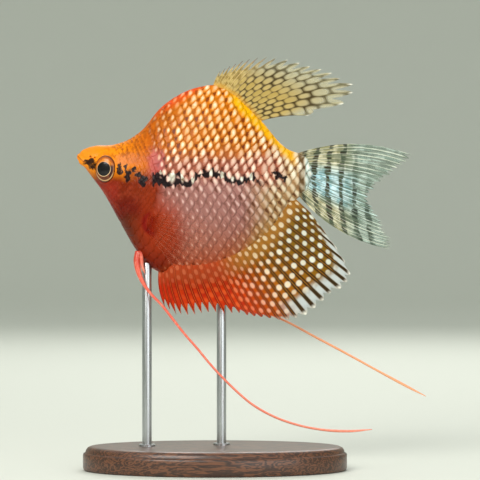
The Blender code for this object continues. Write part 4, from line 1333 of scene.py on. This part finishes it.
# %% [markdown]
# ## Pectoral fins
# The fins behind the gills are nearly clear, so only their fan of fine rays and the red haze at the
# root show. The same fin function makes them, with rays that swing out from the flank.

# %% Pectoral fins
PECTORAL_ROOT = [(-15.7, 63.7), (-16.2, 59.4)]  # upper and lower end of the root, X and Z
PECTORAL_TIPS = [(0.0, 12.9, 0.8), (0.3, 16.2, -1.6), (0.55, 15.6, -5.0), (0.8, 11.9, -7.8), (1.0, 7.4, -9.0)]
PECTORAL_SPREAD = math.radians(21)
PECTORAL_CUP = 0.9


def pectoral_ray(side):
    reach, drop = (smooth([(tip[0], tip[i]) for tip in PECTORAL_TIPS]) for i in (1, 2))
    (x0, z0), (x1, z1) = PECTORAL_ROOT
    shares = np.linspace(0, 1, 6)
    flanks = smooth([(share, flank(x0 + (x1 - x0) * share, z0 + (z1 - z0) * share)) for share in shares])

    def ray(share, along):
        ahead = reach(share) * along
        out = flanks(share) - 0.2 + 0.5 * ease(along, 0, 0.2)
        out = out + math.sin(PECTORAL_SPREAD) * ahead - PECTORAL_CUP * along * (1 - along)
        x, z = x0 + (x1 - x0) * share, z0 + (z1 - z0) * share
        x = x - 0.5 + math.cos(PECTORAL_SPREAD) * ahead
        return np.stack([x, side * out, z + drop(share) * along], -1)

    return ray


def make_pectoral_material():
    material, tree, sockets = new_material("pectoral_membrane", Roughness=0.5, Coat_Weight=0.04,
                                           Coat_Roughness=0.2, Specular_IOR_Level=0.08)
    at = fin_places(tree)
    spots = spotted_by(at, 0.0, 0.4, 5.0)
    colour = mix(fade(at.length, 1.6, 4.5), "860800", "A84C34")
    colour = mix(spots["Rays"] * fade(at.length, 2, 4.5) * 0.5, colour, "E0A084")
    colour.to(sockets["Base Color"])
    from_middle = abs(at.share - 0.5)
    haze = fade(at.length - from_middle * 1.6, 3.6, 0.2) * fade(from_middle, 0.5, 0.25) * 0.22
    (haze + spots["Rays"] * 0.07 + 0.04).to(sockets["Alpha"])
    return material


pectoral_finish = make_pectoral_material()
for side, label in BOTH_SIDES:
    web = make_fin(f"pectoral_web_{label}", pectoral_ray(side), 12, 26, (0.07, 0.07), (0.34, 0.1, 0.1),
                   (lambda share: 0.3 + 0 * share, 1.0), pectoral_finish)
    settle(web, "pectoral_fins", f"pectoral_fin_{label}")

# %% [markdown]
# ## Feelers
# A gourami feels its way with its pelvic fins: each is one long ray, fleshy at the root, with a short
# second ray beside it. A tube follows a given route and thins towards its end. Blender's curves
# can do that too, but a tube of our own has rings of equal length for the fine banding.

# %% Feelers
FEELER_LEFT = [(-19.1, -1.2, 54.6), (-19.5, -1.6, 52.4), (-19.1, -2.0, 49.9), (-18.1, -2.4, 47.3),
               (-16.1, -2.8, 44.3), (-13.1, -3.2, 41.2), (-10.5, -3.5, 37.9), (-7.4, -3.8, 34.0),
               (-4.3, -4.1, 30.5), (-1.5, -4.4, 27.1), (3.0, -4.8, 22.3), (5.4, -5.0, 20.0),
               (9.4, -5.4, 16.7), (14.6, -5.7, 13.8), (20.6, -5.9, 11.7), (27.0, -6.0, 10.5),
               (33.6, -5.9, 10.2), (39.0, -5.7, 10.6)]
FEELER_RIGHT = [(-18.9, 1.2, 54.4), (-17.6, 2.2, 52.5), (-14.6, 3.2, 50.4), (-8.0, 4.8, 47.2),
                (1.6, 6.6, 43.6), (10.2, 7.6, 40.2), (17.3, 8.3, 37.2), (25.9, 9.1, 32.6),
                (32.3, 9.6, 29.2), (41.2, 10.2, 24.3), (50.9, 10.8, 19.1), (53.6, 11.0, 17.7)]
FEELER_RADII = [(0.0, 0.85), (0.05, 0.75), (0.12, 0.42), (0.25, 0.34), (0.8, 0.28), (0.97, 0.22), (1.0, 0.08)]
SHORT_RAY = [(0.5, 0.0, 0.2), (0.75, 0.3, -1.6), (1.0, 0.5, -3.6), (1.6, 0.6, -5.4)]  # from the feeler's root
SHORT_RADII = [(0.0, 0.6), (0.6, 0.42), (0.9, 0.25), (1.0, 0.08)]


def tube(route, radii, rings, sides=14):
    """Points, faces and (around, along) of a closed tube through a route."""
    middle = line_through(route, rings)
    along = np.linspace(0, 1, rings)
    ahead = np.gradient(middle, axis=0)
    ahead /= np.linalg.norm(ahead, axis=1, keepdims=True)
    aside = np.cross(ahead, (0.0, 1.0, 0.0))
    aside /= np.linalg.norm(aside, axis=1, keepdims=True)
    above = np.cross(aside, ahead)
    turn = turns(sides)
    spread = aside[:, None] * np.cos(turn)[None, :, None] + above[:, None] * np.sin(turn)[None, :, None]
    points = middle[:, None] + spread * smooth(radii)(along)[:, None, None]
    maps = np.stack(np.broadcast_arrays((turn / (2 * math.pi))[None], along[:, None]), -1)
    return points.reshape(-1, 3), tube_faces(rings, sides), maps.reshape(-1, 2)


def make_feeler(name, route, side, material):
    second = [np.array(route[0]) + np.array(step) * (1, side, 1) for step in SHORT_RAY]
    points, faces, own = tube(route, FEELER_RADII, 260)
    more, more_faces, more_own = tube(second, SHORT_RADII, 40)
    faces += [[i + len(points) for i in face] for face in more_faces]
    maps = {"tube": np.concatenate([own, more_own])}
    return new_piece(name, np.concatenate([points, more]), faces, material, maps)


def make_feeler_material(name, colour, end):
    material, tree, sockets = new_material(name, Roughness=0.34, Coat_Weight=0.4, Coat_Roughness=0.1,
                                           Subsurface_Weight=0.2, Subsurface_Scale=0.0006)
    _, along, _ = split(node(tree, "UVMap", uv_map="tube"))
    shade = mix(fade(along, 0.1, 0.9), colour, end)
    shade = mix(fade(along, 0.1, 0), shade, "C8381E")
    shade = mix(fade(noise(place_in_mm(tree), 1.4), 0.5, 0.7) * 0.4, shade, "F7A890")
    shade.to(sockets["Base Color"])
    raised((along * 620).math("SINE"), 0.00002).to(sockets["Normal"])
    return material


for (side, label), route, inks in zip(BOTH_SIDES, (FEELER_LEFT, FEELER_RIGHT),
                                      (("E8604A", "EE8A70"), ("E88458", "F0A878"))):
    feeler = make_feeler(f"feeler_{label}", route, side, make_feeler_material(f"feeler_{label}", *inks))
    settle(feeler, "feelers", f"pelvic_fin_{label}",
           f"pelvic_thread_{label}_upper", f"pelvic_thread_{label}_lower")

# %% [markdown]
# ## Display stand
# In life the fish swims free, so a plain stand carries the model: an oval of dark walnut with a
# moulded edge, and two steel rods that end in the belly. The base is one profile carried round an oval,
# and a rod is the same with a round one. Walnut is a noise stretched along the grain and cut into rings.

# %% Stand
BASE_HALF = (33.0, 20.0)
BASE_PROFILE = [(0.8, 0.0), (0.15, 0.25), (0.0, 0.8), (0.0, 3.9), (0.12, 4.25), (0.45, 4.4), (0.6, 4.55),
                (0.75, 5.1), (1.15, 5.65), (1.8, 5.93), (2.8, 6.0)]  # how far in from the edge, and height
RODS = {"front": (-17.0, 0.0), "rear": (1.6, 3.4)}  # X and Y
ROD_RADIUS = 1.2
ROD_FOOT = [(0.1, 3.0), (0.0, 3.1), (0.0, 6.0), (-0.9, 6.0), (-0.9, 6.35), (-0.75, 6.5), (0.0, 6.5)]


def turned_oval(profile, half, count):
    """A closed solid: a profile carried round an oval."""
    turn = turns(count)
    rings = [np.stack([(half[0] - inset) * np.cos(turn), (half[1] - inset) * np.sin(turn), 0 * turn + z], -1)
             for inset, z in profile]
    return np.concatenate(rings), tube_faces(len(profile), count)


def rod_top(x, y):
    """Height at which an upright rod meets the underside of the body."""
    ring = surface(np.full(400, x), np.radians(np.linspace(-90, 0, 400)))
    return float(np.interp(y, -ring[:, 1], ring[:, 2]))


def make_wood():
    material, tree, sockets = new_material("walnut", Roughness=0.42, Coat_Weight=0.35, Coat_Roughness=0.2)
    place = place_in_mm(tree)
    rings = (noise(place, 0.16, 4.0, (0.35, 2.6, 2.6)) * 60).math("SINE")
    pores = noise(place, 1.6, 2.0, (0.12, 3, 3))
    colour = mix(fade(rings, -0.8, 0.9), "3A2114", "6B4128")
    mix(fade(pores, 0.58, 0.68), colour, "24130B").to(sockets["Base Color"])
    raised(pores, 0.00004, 0.4).to(sockets["Normal"])
    return material


def make_steel():
    material, tree, sockets = new_material("brushed_steel", Base_Color="B9BBBE", Metallic=1.0)
    lines = noise(place_in_mm(tree), 3.0, 3.0, (1, 1, 0.04))
    (lines * 0.25 + 0.16).to(sockets["Roughness"])
    return material


base = new_piece("base", *turned_oval(BASE_PROFILE, BASE_HALF, 160), make_wood())
settle(base, "stand_wood", "stand_base")
steel = make_steel()
for label, (x, y) in RODS.items():
    top = rod_top(x, y)
    profile = ROD_FOOT + [(0.0, top - 0.1), (0.15, top + 0.3)]
    points, faces = turned_oval(profile, (ROD_RADIUS, ROD_RADIUS), 48)
    rod = new_piece(f"rod_{label}", points + (x, y, 0), faces, steel)
    rod.data.set_sharp_from_angle(angle=math.radians(35))
    settle(rod, "stand_steel", f"stand_rod_{label}")

# %% [markdown]
# ## Floor and light
# A plain pale floor curves up into a wall all round, so that no view shows an edge. Three large area
# lights and a pale room give the soft light of a studio. Large lights make soft shadows, which suit a
# small wet fish better than hard ones.

# %% Stage
FLOOR_RADIUS, FLOOR_CURVE, WALL_TOP = 1.6, 0.9, 2.4  # metres
HEART = (0.0, 0.0, 0.065)  # the lights point here


def make_stage():
    bend = np.radians(np.arange(10, 91, 10))
    profile = [(FLOOR_RADIUS, 0.0)]
    profile += [(FLOOR_RADIUS + FLOOR_CURVE * math.sin(a), FLOOR_CURVE - FLOOR_CURVE * math.cos(a))
                for a in bend]
    profile += [(FLOOR_RADIUS + FLOOR_CURVE, WALL_TOP)]
    count = 72
    turn = turns(count)
    rings = [np.stack([radius * np.cos(turn), radius * np.sin(turn), 0 * turn + z], -1)
             for radius, z in profile]
    faces = grid_faces(len(profile), count, closed=True)[:, ::-1].tolist() + [list(range(count))]
    material, _, _ = new_material("pale_floor", Base_Color="D6DAD2", Roughness=0.8)
    new_piece("floor", np.concatenate(rings) / MM, faces, material)


def area_light(name, place, size, power, colour):
    light = bpy.data.objects.new(name, bpy.data.lights.new(name, "AREA"))
    light.data.size = size
    light.data.energy = power
    light.data.color = colour
    light.location = place
    light.rotation_euler = (Vector(HEART) - Vector(place)).to_track_quat("-Z", "Y").to_euler()
    bpy.context.scene.collection.objects.link(light)


make_stage()
area_light("key", (-0.3, -0.6, 0.5), 0.4, 4.6, (1.0, 0.97, 0.92))
area_light("fill", (0.4, -0.65, 0.2), 0.6, 2.2, (0.96, 0.98, 1.0))
area_light("rim", (0.1, 0.6, 0.55), 0.5, 2.6, (1.0, 0.98, 0.95))
world = bpy.data.worlds.new("room")
world.use_nodes = True
room = world.node_tree.nodes["Background"].inputs
room["Color"].default_value = (0.86, 0.88, 0.84, 1)
room["Strength"].default_value = 0.85
bpy.context.scene.world = world
bpy.context.scene.view_settings.view_transform = "Standard"
print("lights:", [light.name for light in bpy.data.lights])

# %% [markdown]
# ## Camera
# The camera looks level at the left flank, along +Y. A long lens from far away keeps the fins' outlines
# true, as in a portrait of a specimen.

# %% Camera
camera = bpy.data.objects.new("camera", bpy.data.cameras.new("camera"))
bpy.context.scene.collection.objects.link(camera)
camera.location = (0.00625, -0.6, 0.0575)
camera.rotation_euler = (math.radians(90), 0, 0)
camera.data.lens = 180
bpy.context.scene.camera = camera
print("camera lens:", camera.data.lens, "mm")
